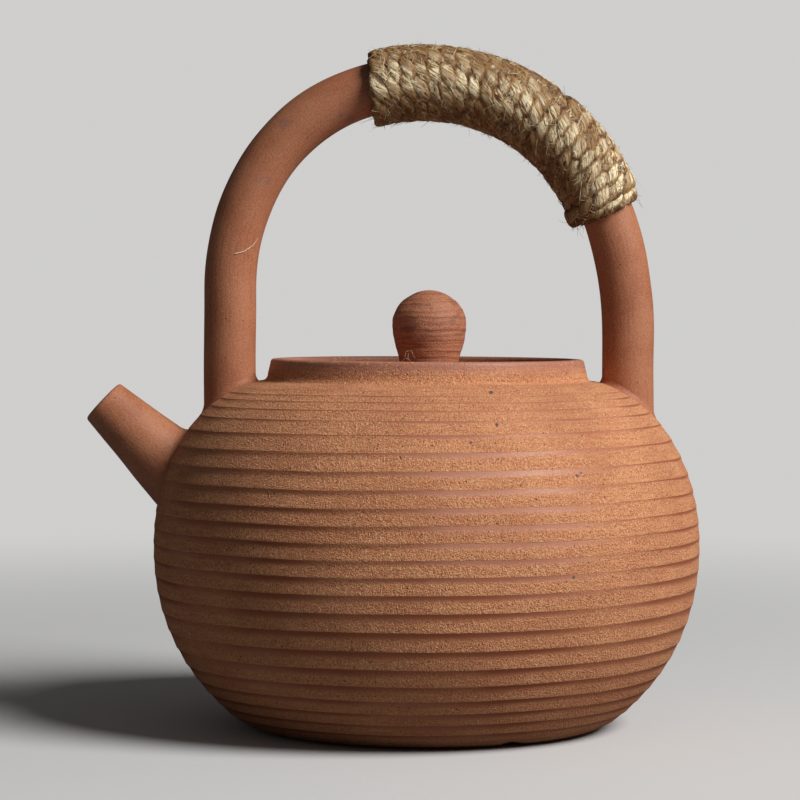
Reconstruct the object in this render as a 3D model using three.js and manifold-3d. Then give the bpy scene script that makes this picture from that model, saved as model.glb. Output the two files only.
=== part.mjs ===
// A wheel-thrown stoneware teapot: a round pot with a short spout, a lift-off lid with a ball knob, and a
// clay handle that arches over the lid and is wound with jute cord.
// Millimetres, +Z up. The origin is on the pot's axis, in the plane that the pot stands on. The spout
// points to -X.

import * as THREE from "three";
import { mergeVertices } from "three/addons/utils/BufferGeometryUtils.js";
import Module from "manifold-3d";

// Clearances
const jointGap = 0.3; // between pieces that lie on each other or are stuck together
const cutOverrun = 3; // how far a cutting solid runs past what it cuts
const weldDistance = 0.0005; // vertices nearer than this are one

// Pot body
const heelRadius = 49.4; // where the belly's line would meet the table
const heelRound = 6.4; // the flat base ends this far inside the heel
const bellyRadius = 75.1;
const bellyHeight = 49.8;
const shoulderRise = 44.9; // from the belly's widest ring up to the collar's foot
const collarRadius = 43.3;
const collarFlare = 2.1; // how much wider the collar's foot is than its rim
const collarCove = 2.5; // height of the hollow curve at the collar's foot
const collarHeight = 6.1;
const collarThickness = 3.9;
const rimRound = 0.8;
const wallThickness = 4.6;
const floorThickness = 6;
const ledgeWidth = 4.9;
const ledgeThickness = 3.6;
const heelOutShare = 0.537; // pulls of the outline's two curves, as shares of their spans
const heelUpShare = 0.206;
const bellyDropShare = 0.492;
const bellyRiseShare = 0.69;
const shoulderOutShare = 0.313;
const heelStartShare = 0.13; // how far along the belly's curve the heel's rounding ends

// Lid
const lidSink = 3; // from the rim down to the plate's edge
const lidClearance = 0.5; // round the plate, inside the collar
const plateThickness = 4;
const plateCrown = 0.6; // how much the plate rises towards its middle
const plateRound = 0.7;
const flangeClearance = 0.8; // round the flange, inside the ledge
const flangeThickness = 3;
const flangeDepth = 8;
const flangeRound = 0.6;
const steamHoleRadius = 1.4;
const steamHoleOffset = 20;
const knobRadius = 10.2;
const knobFootRadius = 8;
const knobWaistHeight = 11.7; // from the knob's foot up to its widest ring
const knobCrownHeight = 9.3; // from its widest ring up to its top
const knobFootPullShare = 0.25;
const knobWidePullShare = 0.5;

// Spout
const spoutLegGap = 1.55; // from the coil round the front leg down to the coil round the spout
const spoutTiltDegrees = 43; // above the level
const spoutLength = 25.2;
const spoutTipRadius = 6.8;
const spoutRootRadius = 10;
const spoutTipWall = 2.2;
const spoutRootWall = 2.8;
const spoutLipRound = 0.9;
const spoutFlare = 1.05; // 1 is a straight taper, more opens the root
const strainerLap = 2.2; // how far the strainer reaches past the hole in the wall
const strainerThickness = 1.8;
const strainerHoleRadius = 1.2;
const strainerRingShare = 0.56; // the ring of holes, as a share of the hole in the wall
const strainerOpenDegrees = 120; // how far its dome reaches from its top, before the wall cuts it

// Handle
const handleRadius = 7.15;
const frontLegGap = 1.85; // from the collar's foot out to the leg on the spout's side
const rearLegGap = 2.65;
const frontLegRise = 24.2; // straight stretch above the shoulder
const rearLegRise = 11.1;
const crownRise = 81.9; // from the shoulder up to the rod's centre line at its top
const crownOffset = 1.1; // the top lies this far towards the spout
const frontUpShare = 0.555; // pulls of the arch's two curves, as shares of their spans
const frontCrownShare = 0.613;
const rearCrownShare = 0.391;
const rearUpShare = 0.802;
const lutingRadius = 1.9; // the clay coil smoothed round each joint

// Cord
const wrapBeforeCrown = 16.1; // along the rod's centre line
const wrapAfterCrown = 63;
const cordWidth = 2.6; // along the rod
const cordHeight = 3.1; // away from the rod
const turnGap = 1.17; // between turns, along the rod's centre line

// Facets
const potSides = 48;
const outerCurveSteps = 7;
const innerCurveSteps = 5;
const lidSides = 40;
const knobSides = 24;
const knobWaistSteps = 5;
const knobDomeSteps = 6;
const spoutSides = 20;
const spoutSteps = 5;
const handleSides = 16;
const handleSteps = 34;
const lutingSteps = 24;
const lutingSides = 7;
const roundSteps = 2;
const strainerArcSteps = 5;
const strainerHoleSides = 6;
const steamHoleSides = 12;
const strainerHoles = 6;
const cordStepsPerTurn = 24;
const cordSides = 6;

// Places that follow from the sizes
const neckRadius = collarRadius + collarFlare;
const shoulderHeight = bellyHeight + shoulderRise;
const rimHeight = shoulderHeight + collarHeight;
const mouthRadius = collarRadius - collarThickness;
const plateBottom = rimHeight - lidSink - plateThickness;
const ledgeHeight = plateBottom - jointGap;
const ledgeRadius = mouthRadius - ledgeWidth;
const ledgeUnderside = ledgeHeight - ledgeThickness;
const spoutTilt = THREE.MathUtils.degToRad(spoutTiltDegrees);
const spoutDirection = new THREE.Vector3(-Math.cos(spoutTilt), 0, Math.sin(spoutTilt));
const level = new THREE.Vector3(0, 1, 0); // square to the spout's axis, with steep
const steep = new THREE.Vector3().crossVectors(level, spoutDirection);
const wallHoleRadius = spoutRootRadius - spoutRootWall;
const frontLegReach = neckRadius + frontLegGap + handleRadius;
const rearLegReach = neckRadius + rearLegGap + handleRadius;
const turnSpacing = cordWidth + turnGap;

const wasm = await Module();
wasm.setup();

/** A closed geometry as a solid that can be joined and cut. */
function toSolid(geometry) {
  const bare = geometry.clone();
  bare.deleteAttribute("normal");
  bare.deleteAttribute("uv");
  const merged = mergeVertices(bare, weldDistance);
  const vertProperties = merged.attributes.position.array;
  const triVerts = new Uint32Array(merged.index.array);
  return new wasm.Manifold(new wasm.Mesh({ numProp: 3, vertProperties, triVerts }));
}

/** A solid as a geometry that can be drawn. */
function toGeometry(solid) {
  const mesh = solid.getMesh();
  const geometry = new THREE.BufferGeometry();
  geometry.setAttribute("position", new THREE.BufferAttribute(mesh.vertProperties, 3));
  geometry.setIndex(new THREE.BufferAttribute(mesh.triVerts, 1));
  geometry.computeVertexNormals();
  return geometry;
}

/** Points of a rounded corner, from start to end, pulled towards the corner. */
function rounded(start, corner, end) {
  return new THREE.QuadraticBezierCurve(start, corner, end).getPoints(roundSteps);
}

const at = (radius, height) => new THREE.Vector2(radius, height);

/** Points of an oval round a place, given by two directions and the oval's size along each. */
function ovalOf(place, first, firstSize, second, secondSize, sides) {
  return Array.from({ length: sides }, (_, side) => {
    const angle = (2 * Math.PI * (side + 1 / 2)) / sides;
    const point = place.clone().addScaledVector(first, firstSize * Math.cos(angle));
    return point.addScaledVector(second, secondSize * Math.sin(angle));
  });
}

/** An outline turned round the Z axis. */
function turned(outline, sides) {
  return new THREE.LatheGeometry(outline, sides).rotateX(Math.PI / 2);
}

/** An outline turned round the spout's axis, its heights measured outwards from the wall. */
function turnedOnSpout(outline, sides) {
  const turn = new THREE.Quaternion().setFromUnitVectors(new THREE.Vector3(0, 1, 0), spoutDirection);
  const root = spoutPoint(0);
  return new THREE.LatheGeometry(outline, sides).applyQuaternion(turn).translate(root.x, root.y, root.z);
}

/** The wall's outline from the base to the shoulder, moved outwards by grow. */
function wallOutline(grow, base, shoulder, steps) {
  const heel = at(heelRadius + grow, base);
  const belly = at(bellyRadius + grow, bellyHeight);
  const neck = at(neckRadius, shoulder);
  const lower = new THREE.CubicBezierCurve(
    heel,
    at(heel.x + (belly.x - heel.x) * heelOutShare, base + (belly.y - base) * heelUpShare),
    at(belly.x, belly.y - (belly.y - base) * bellyDropShare),
    belly,
  );
  const upper = new THREE.CubicBezierCurve(
    belly,
    at(belly.x, belly.y + (shoulder - belly.y) * bellyRiseShare),
    at(neck.x + (belly.x - neck.x) * shoulderOutShare, shoulder),
    neck,
  );
  const points = rounded(at(heel.x - heelRound, base), heel, lower.getPoint(heelStartShare));
  for (let step = 1; step <= steps; step++) {
    const along = heelStartShare + ((1 - heelStartShare) * step) / steps;
    points.push(lower.getPoint(along));
  }
  points.push(...upper.getPoints(steps).slice(1));
  return points;
}

const outerWall = wallOutline(0, 0, shoulderHeight, outerCurveSteps);

/** The pot's outer radius at a height below the collar. */
function wallRadiusAt(height) {
  const above = outerWall.findIndex((point) => point.y >= height);
  if (above < 0) return neckRadius;
  if (above === 0) return outerWall[0].x;
  const low = outerWall[above - 1];
  const high = outerWall[above];
  return low.x + ((high.x - low.x) * (height - low.y)) / (high.y - low.y);
}

/** A point of the upright plane through the spout and the handle. */
const up = (x, z) => new THREE.Vector3(x, 0, z);

/** The height at which a leg's outer side meets the shoulder. */
function legSeamHeight(reach) {
  const outerSide = reach + handleRadius;
  return meetWall(up(outerSide, bellyHeight), up(outerSide, rimHeight)).z;
}

/** Where the spout's axis leaves the wall, with the spout's upper edge just below the front leg's joint. */
function placeSpoutRoot() {
  const edgeHeight = legSeamHeight(frontLegReach) - 2 * lutingRadius - spoutLegGap;
  const edge = up(-wallRadiusAt(edgeHeight), edgeHeight);
  const beside = edge.addScaledVector(steep, -spoutRootRadius);
  const inside = beside.clone().addScaledVector(spoutDirection, -2 * spoutRootRadius);
  const outside = beside.clone().addScaledVector(spoutDirection, 2 * spoutRootRadius);
  return meetWall(inside, outside);
}

const spoutRoot = placeSpoutRoot();

/** A point of the spout's axis, at a distance outwards from the wall. */
const spoutPoint = (distance) => spoutRoot.clone().addScaledVector(spoutDirection, distance);

/** Where a line leaves the pot: the first point, from inside outwards, that lies on the wall. */
function meetWall(inside, outside) {
  const low = inside.clone();
  const high = outside.clone();
  const middle = new THREE.Vector3();
  const halvings = 40;
  for (let halving = 0; halving < halvings; halving++) {
    middle.addVectors(low, high).multiplyScalar(1 / 2);
    const within = middle.z < shoulderHeight && Math.hypot(middle.x, middle.y) < wallRadiusAt(middle.z);
    (within ? low : high).copy(middle);
  }
  return middle;
}

/** The pot without its hollow, moved outwards by grow, to cut what is stuck to it. */
function potEnvelope(grow) {
  const wall = wallOutline(grow, -grow, shoulderHeight + grow, outerCurveSteps);
  const top = rimHeight + grow;
  const outline = [at(0, -grow), ...wall, ...collarFoot(grow), at(collarRadius + grow, top), at(0, top)];
  return toSolid(turned(outline, potSides));
}

/** The hollow curve between the shoulder and the upright collar. */
function collarFoot(grow) {
  const start = at(neckRadius, shoulderHeight + grow);
  const corner = at(collarRadius + grow, shoulderHeight + grow);
  const end = at(collarRadius + grow, shoulderHeight + collarCove + grow);
  return rounded(start, corner, end).slice(1);
}

/** The pot's hollow up to the ledge, made smaller by shrink. */
function potHollow(shrink) {
  const top = ledgeUnderside - shrink;
  const wall = wallOutline(-wallThickness - shrink, floorThickness + shrink, top, innerCurveSteps);
  return [at(0, floorThickness + shrink), ...wall];
}

function makePotBody() {
  const outline = [
    at(0, 0),
    ...outerWall,
    ...collarFoot(0),
    ...rounded(
      at(collarRadius, rimHeight - rimRound),
      at(collarRadius, rimHeight),
      at(collarRadius - rimRound, rimHeight),
    ),
    ...rounded(
      at(mouthRadius + rimRound, rimHeight),
      at(mouthRadius, rimHeight),
      at(mouthRadius, rimHeight - rimRound),
    ),
    at(mouthRadius, ledgeHeight),
    at(ledgeRadius, ledgeHeight),
    at(ledgeRadius, ledgeUnderside),
    ...potHollow(0).reverse(),
  ];
  const shell = toSolid(turned(outline, potSides));
  const drill = [
    at(0, -spoutRootRadius - wallThickness),
    at(wallHoleRadius, -spoutRootRadius - wallThickness),
    at(wallHoleRadius, spoutRootRadius),
    at(0, spoutRootRadius),
  ];
  return shell.subtract(toSolid(turnedOnSpout(drill, spoutSides)));
}

/** The spout's outer radius at a distance outwards from the wall. */
function spoutRadiusAt(distance) {
  const towardsRoot = (spoutLength - distance) / spoutLength;
  return spoutTipRadius + (spoutRootRadius - spoutTipRadius) * towardsRoot ** spoutFlare;
}

/** Distances from inside the pot's wall out to a little short of the tip. */
function spoutDistances() {
  const last = spoutLength - spoutLipRound;
  const first = -spoutRootRadius;
  return Array.from({ length: spoutSteps + 1 }, (_, step) => first + ((last - first) * step) / spoutSteps);
}

/** The spout without its bore, grown to cut what is stuck to it. */
function spoutEnvelope(grow) {
  const side = spoutDistances().map((distance) => at(spoutRadiusAt(distance) + grow, distance));
  const tip = at(spoutTipRadius + grow, spoutLength);
  const outline = [at(0, -spoutRootRadius), ...side, tip, at(0, spoutLength)];
  return toSolid(turnedOnSpout(outline, spoutSides));
}

function makeSpout() {
  const side = spoutDistances().map((distance) => at(spoutRadiusAt(distance), distance));
  const boreTip = spoutTipRadius - spoutTipWall;
  const outline = [
    at(wallHoleRadius, -spoutRootRadius),
    ...side,
    ...rounded(
      at(spoutTipRadius, spoutLength - spoutLipRound),
      at(spoutTipRadius, spoutLength),
      at(spoutTipRadius - spoutLipRound, spoutLength),
    ).slice(1),
    ...rounded(
      at(boreTip + spoutLipRound, spoutLength),
      at(boreTip, spoutLength),
      at(boreTip, spoutLength - spoutLipRound),
    ),
    at(wallHoleRadius, 0),
    at(wallHoleRadius, -spoutRootRadius),
  ];
  return toSolid(turnedOnSpout(outline, spoutSides)).subtract(potEnvelope(jointGap));
}

function makeStrainer() {
  const radius = wallHoleRadius + strainerLap;
  const innerRadius = radius - strainerThickness;
  const wallDepth = wallThickness / Math.cos(spoutTilt) + jointGap;
  const openAngle = THREE.MathUtils.degToRad(strainerOpenDegrees);
  const arc = (size) =>
    Array.from({ length: strainerArcSteps + 1 }, (_, step) => {
      const angle = (openAngle * step) / strainerArcSteps;
      return at(size * Math.sin(angle), -wallDepth - size * Math.cos(angle));
    });
  const shell = toSolid(turnedOnSpout([...arc(radius), ...arc(innerRadius).reverse()], spoutSides));
  const hole = [
    at(0, -wallDepth - radius - cutOverrun),
    at(strainerHoleRadius, -wallDepth - radius - cutOverrun),
    at(strainerHoleRadius, -wallDepth),
    at(0, -wallDepth),
  ];
  const middleHole = turnedOnSpout(hole, strainerHoleSides);
  const ringRadius = wallHoleRadius * strainerRingShare;
  const hollow = turned([...potHollow(jointGap), at(0, ledgeUnderside - jointGap)], potSides);
  const dome = shell.intersect(toSolid(hollow)).subtract(toSolid(middleHole));
  const shifts = ovalOf(new THREE.Vector3(), level, ringRadius, steep, ringRadius, strainerHoles);
  return shifts.reduce(
    (pierced, { x, y, z }) => pierced.subtract(toSolid(middleHole.clone().translate(x, y, z))),
    dome,
  );
}

/** The height at which a leg starts, inside the shoulder, before the pot's wall cuts it. */
const legStart = (reach) => legSeamHeight(reach) - cutOverrun;

/** The handle's centre line, from inside the shoulder on the spout's side over to the other side. */
function handlePath() {
  const frontTop = shoulderHeight + frontLegRise;
  const rearTop = shoulderHeight + rearLegRise;
  const crown = up(-crownOffset, shoulderHeight + crownRise);
  const frontRise = crown.z - frontTop;
  const rearRise = crown.z - rearTop;
  const frontSpan = frontLegReach - crownOffset;
  const rearSpan = rearLegReach + crownOffset;
  const path = new THREE.CurvePath();
  path.add(new THREE.LineCurve3(up(-frontLegReach, legStart(frontLegReach)), up(-frontLegReach, frontTop)));
  path.add(
    new THREE.CubicBezierCurve3(
      up(-frontLegReach, frontTop),
      up(-frontLegReach, frontTop + frontRise * frontUpShare),
      up(crown.x - frontSpan * frontCrownShare, crown.z),
      crown,
    ),
  );
  path.add(
    new THREE.CubicBezierCurve3(
      crown,
      up(crown.x + rearSpan * rearCrownShare, crown.z),
      up(rearLegReach, rearTop + rearRise * rearUpShare),
      up(rearLegReach, rearTop),
    ),
  );
  path.add(new THREE.LineCurve3(up(rearLegReach, rearTop), up(rearLegReach, legStart(rearLegReach))));
  return path;
}

const archPath = handlePath();

/** The handle's rod with its radius grown. */
function handleRod(grow) {
  const radius = handleRadius + grow;
  const ring = ovalOf(new THREE.Vector3(), new THREE.Vector3(1, 0, 0), radius, level, radius, handleSides);
  const section = new THREE.Shape(ring.map((point) => at(point.x, point.y)));
  const options = { steps: handleSteps, bevelEnabled: false, extrudePath: archPath };
  return toSolid(new THREE.ExtrudeGeometry(section, options));
}

function makeHandle() {
  return handleRod(0).subtract(potEnvelope(jointGap));
}

/** Rings of points joined into one closed surface: a tube with flat ends, or a loop. */
function tubeFromRings(rings, isLoop) {
  const sides = rings[0].length;
  const index = [];
  const joins = isLoop ? rings.length : rings.length - 1;
  for (let ring = 0; ring < joins; ring++) {
    const here = ring * sides;
    const next = ((ring + 1) % rings.length) * sides;
    for (let side = 0; side < sides; side++) {
      const after = (side + 1) % sides;
      index.push(here + side, next + after, next + side);
      index.push(here + side, here + after, next + after);
    }
  }
  if (!isLoop) {
    const last = (rings.length - 1) * sides;
    for (let side = 1; side < sides - 1; side++) {
      index.push(0, side + 1, side);
      index.push(last, last + side, last + side + 1);
    }
  }
  const geometry = new THREE.BufferGeometry().setFromPoints(rings.flat());
  geometry.setIndex(index);
  return geometry;
}

/** A round clay coil laid along a closed seam on the pot. */
function coilAlong(seam) {
  const centre = seam.reduce((sum, point) => sum.add(point), new THREE.Vector3()).divideScalar(seam.length);
  const rings = seam.map((point, place) => {
    const before = seam[(place + seam.length - 1) % seam.length];
    const after = seam[(place + 1) % seam.length];
    const along = new THREE.Vector3().subVectors(after, before).normalize();
    const outward = new THREE.Vector3().subVectors(point, centre).projectOnPlane(along).normalize();
    const across = new THREE.Vector3().crossVectors(along, outward);
    return ovalOf(point, outward, lutingRadius, across, lutingRadius, lutingSides);
  });
  return toSolid(tubeFromRings(rings, true));
}

function makeLegLuting(legX) {
  const radius = handleRadius + jointGap;
  const ring = ovalOf(up(legX, bellyHeight), new THREE.Vector3(1, 0, 0), radius, level, radius, lutingSteps);
  const seam = ring.map((point) => meetWall(point, point.clone().setZ(rimHeight)));
  return coilAlong(seam).subtract(potEnvelope(jointGap)).subtract(handleRod(jointGap));
}

function makeSpoutLuting() {
  const ringAt = (distance) => {
    const radius = spoutRadiusAt(distance);
    return ovalOf(spoutPoint(distance), level, radius, steep, radius, lutingSteps);
  };
  const tipRing = ringAt(spoutLength);
  const seam = ringAt(-spoutRootRadius).map((point, side) => meetWall(point, tipRing[side]));
  return coilAlong(seam).subtract(potEnvelope(jointGap)).subtract(spoutEnvelope(jointGap));
}

/** The centre line of the wound cord and its two directions: away from the rod, and the way it runs. */
function cordPlaces() {
  const total = archPath.getLength();
  const crownDistance = archPath.getCurveLengths()[1];
  const start = crownDistance - wrapBeforeCrown;
  const length = wrapBeforeCrown + wrapAfterCrown;
  const turns = Math.round(length / turnSpacing);
  const steps = turns * cordStepsPerTurn;
  const windRadius = handleRadius + jointGap + cordHeight / 2;
  const front = new THREE.Vector3(0, -1, 0);
  const places = Array.from({ length: steps + 1 }, (_, step) => {
    const share = (start + (length * step) / steps) / total;
    const tangent = archPath.getTangentAt(share);
    const outside = up(-tangent.z, tangent.x);
    const angle = (2 * Math.PI * step) / cordStepsPerTurn;
    const away = outside.multiplyScalar(Math.cos(angle)).addScaledVector(front, Math.sin(angle));
    const point = archPath.getPointAt(share).addScaledVector(away, windRadius);
    return { point, away };
  });
  places.forEach((place, step) => {
    const before = places[Math.max(step - 1, 0)].point;
    const after = places[Math.min(step + 1, steps)].point;
    place.along = new THREE.Vector3().subVectors(after, before).normalize();
  });
  const straightEnd = (place, distance) => ({
    point: place.point.clone().addScaledVector(place.along, distance),
    away: place.away,
    along: place.along,
  });
  return [straightEnd(places[0], -cordHeight), ...places, straightEnd(places[steps], cordHeight)];
}

/** The least distance between points of the tube that lie half a turn or more apart along it. */
function leastSelfGap(rings) {
  let least = Infinity;
  const apart = cordStepsPerTurn / 2;
  rings.forEach((ring, place) => {
    const furthest = Math.min(rings.length, place + cordStepsPerTurn + apart);
    for (let other = place + apart; other < furthest; other++) {
      for (const point of ring) {
        for (const otherPoint of rings[other]) least = Math.min(least, point.distanceTo(otherPoint));
      }
    }
  });
  return least;
}

function makeHandleWrap() {
  const flatScale = 1 / Math.cos(Math.PI / cordSides);
  const rings = cordPlaces().map(({ point, away, along }) => {
    const across = new THREE.Vector3().crossVectors(along, away).normalize();
    return ovalOf(point, away, (cordHeight / 2) * flatScale, across, cordWidth / 2, cordSides);
  });
  console.log("least gap between the cord's turns, mm:", leastSelfGap(rings).toFixed(2));
  return toSolid(tubeFromRings(rings, false));
}

const plateRadius = mouthRadius - lidClearance;
const plateTop = plateBottom + plateThickness;

function makeLidPlate() {
  const crown = plateTop + plateCrown;
  const outline = [
    at(0, plateBottom),
    ...rounded(
      at(plateRadius - plateRound, plateBottom),
      at(plateRadius, plateBottom),
      at(plateRadius, plateBottom + plateRound),
    ),
    ...rounded(
      at(plateRadius, plateTop - plateRound),
      at(plateRadius, plateTop),
      at(plateRadius - plateRound, plateTop),
    ),
    at(plateRadius / 2, plateTop + plateCrown / 2),
    at(knobRadius, crown),
    at(0, crown),
  ];
  const hole = turned(
    [
      at(0, plateBottom - cutOverrun),
      at(steamHoleRadius, plateBottom - cutOverrun),
      at(steamHoleRadius, crown + cutOverrun),
      at(0, crown + cutOverrun),
    ],
    steamHoleSides,
  ).translate(steamHoleOffset, 0, 0);
  return toSolid(turned(outline, lidSides)).subtract(toSolid(hole));
}

function makeLidFlange() {
  const top = plateBottom - jointGap;
  const bottom = top - flangeDepth;
  const outer = ledgeRadius - flangeClearance;
  const inner = outer - flangeThickness;
  const outline = [
    at(inner, top),
    ...rounded(at(inner, bottom + flangeRound), at(inner, bottom), at(inner + flangeRound, bottom)),
    ...rounded(at(outer - flangeRound, bottom), at(outer, bottom), at(outer, bottom + flangeRound)),
    at(outer, top),
    at(inner, top),
  ];
  return toSolid(turned(outline, lidSides));
}

function makeLidKnob() {
  const foot = plateTop + plateCrown + jointGap;
  const widest = foot + knobWaistHeight;
  const waist = new THREE.CubicBezierCurve(
    at(knobFootRadius, foot),
    at(knobFootRadius, foot + knobWaistHeight * knobFootPullShare),
    at(knobRadius, widest - knobWaistHeight * knobWidePullShare),
    at(knobRadius, widest),
  );
  const outline = [at(0, foot), ...waist.getPoints(knobWaistSteps)];
  for (let step = 1; step < knobDomeSteps; step++) {
    const angle = ((Math.PI / 2) * step) / knobDomeSteps;
    outline.push(at(knobRadius * Math.cos(angle), widest + knobCrownHeight * Math.sin(angle)));
  }
  outline.push(at(0, widest + knobCrownHeight));
  return toSolid(turned(outline, knobSides));
}

const clay = { color: 0xb87750, roughness: 0.82, metalness: 0 };
const darkClay = { color: 0xa9694a, roughness: 0.75, metalness: 0 };
const jute = { color: 0xb59b6c, roughness: 0.95, metalness: 0 };

/** Adds a named piece with a material of its own. */
function addPiece(group, name, solid, finish) {
  const mesh = new THREE.Mesh(toGeometry(solid), new THREE.MeshStandardMaterial(finish));
  mesh.name = name;
  group.add(mesh);
}

const teapot = new THREE.Group();
const lid = new THREE.Group();
teapot.add(lid);

addPiece(teapot, "pot_body", makePotBody(), clay);
addPiece(teapot, "spout", makeSpout(), darkClay);
addPiece(teapot, "spout_strainer", makeStrainer(), clay);
addPiece(teapot, "spout_luting", makeSpoutLuting(), clay);
addPiece(teapot, "handle_arch", makeHandle(), darkClay);
addPiece(teapot, "front_leg_luting", makeLegLuting(-frontLegReach), clay);
addPiece(teapot, "rear_leg_luting", makeLegLuting(rearLegReach), clay);
addPiece(teapot, "handle_wrap", makeHandleWrap(), jute);
addPiece(lid, "lid_plate", makeLidPlate(), darkClay);
addPiece(lid, "lid_flange", makeLidFlange(), darkClay);
addPiece(lid, "lid_knob", makeLidKnob(), darkClay);

export default teapot;
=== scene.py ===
"""Dresses a wheel-thrown stoneware teapot: a sandy round pot with one throwing spiral, a short spout, a
lift-off lid with a ball knob, and an arched clay handle wound with jute cord.

Everything is in metres with +Z up. The pot's axis is Z, its base is at zero, and the spout points to -X.
"""

import logging
import math
import random
from collections.abc import Iterable, Sequence
from dataclasses import dataclass, field
from enum import Enum

import bpy
import numpy as np
from mathutils import Matrix, Vector, noise
from mathutils.geometry import interpolate_bezier


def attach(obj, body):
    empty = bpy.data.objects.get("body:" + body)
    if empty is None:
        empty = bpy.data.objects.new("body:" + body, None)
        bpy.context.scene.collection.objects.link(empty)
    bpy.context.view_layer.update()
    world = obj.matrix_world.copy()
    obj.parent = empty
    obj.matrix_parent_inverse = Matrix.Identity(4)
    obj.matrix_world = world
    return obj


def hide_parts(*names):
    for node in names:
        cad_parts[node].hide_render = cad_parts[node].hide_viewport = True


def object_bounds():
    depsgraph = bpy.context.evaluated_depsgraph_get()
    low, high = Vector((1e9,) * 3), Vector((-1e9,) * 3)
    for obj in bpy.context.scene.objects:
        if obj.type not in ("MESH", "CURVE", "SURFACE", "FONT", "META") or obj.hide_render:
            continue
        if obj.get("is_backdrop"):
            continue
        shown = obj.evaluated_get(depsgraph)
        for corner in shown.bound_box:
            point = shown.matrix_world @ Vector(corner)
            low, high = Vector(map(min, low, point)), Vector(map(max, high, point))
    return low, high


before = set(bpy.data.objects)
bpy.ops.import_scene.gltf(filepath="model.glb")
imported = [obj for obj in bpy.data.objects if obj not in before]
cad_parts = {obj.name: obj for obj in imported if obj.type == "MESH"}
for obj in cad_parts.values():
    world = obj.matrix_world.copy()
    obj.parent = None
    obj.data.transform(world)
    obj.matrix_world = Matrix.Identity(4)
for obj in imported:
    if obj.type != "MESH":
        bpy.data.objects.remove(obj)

LOG = logging.getLogger("teapot")

MILLIMETRE = 0.001
PER_METRE = 1000.0  # millimetres in a metre, for patterns that are written in millimetres
FULL_TURN = 2 * math.pi
FRONT_TURN = -0.25  # the pot's front lies a quarter turn before its +X side
WELD = 0.000001  # vertices nearer than this are one
SMOOTH_ANGLE = math.radians(40)
QUARTER_PULL = 0.5523  # the reach of a curve's handles for a quarter circle, as a share of its radius
SPOT_CORE = 0.6  # the share of a spot's radius that has its full colour
HAIR_SIDES = 3
HAIR_TAPER = 0.75  # how much of its thickness a hair loses from root to tip

Colour = tuple[float, float, float]


class Body(Enum):
    """The two rigid bodies that pieces ride on."""

    POT = "pot"
    LID = "lid"


class Slot(Enum):
    """The record's material slots."""

    THROWN = "thrown_clay"
    SMOOTH = "smooth_clay"
    LID = "lid_clay"
    JUTE = "jute_cord"


class Wire:
    """A node's output that Python's operators join to others, adding Math nodes."""

    def __init__(self, shader: "Shader", source: bpy.types.NodeSocket) -> None:
        """Remember the shader that the socket belongs to."""
        self.shader = shader
        self.source = source

    def other(self, output: str | int) -> "Wire":
        """Another output of the same node."""
        return Wire(self.shader, self.source.node.outputs[output])

    def __add__(self, value: "Wire | float") -> "Wire":
        """This plus a value."""
        return self.shader.maths("ADD", self, value)

    __radd__ = __add__

    def __sub__(self, value: "Wire | float") -> "Wire":
        """This less a value."""
        return self.shader.maths("SUBTRACT", self, value)

    def __rsub__(self, value: float) -> "Wire":
        """A number less this."""
        return self.shader.maths("SUBTRACT", value, self)

    def __mul__(self, value: "Wire | float") -> "Wire":
        """This times a value."""
        return self.shader.maths("MULTIPLY", self, value)

    __rmul__ = __mul__


Value = Wire | float | Sequence[float]


@dataclass(frozen=True)
class Spots:
    """Round spots: cells to a millimetre, radius in millimetres, and the share of cells that have one."""

    per_millimetre: float
    radius: float
    share: float


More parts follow.
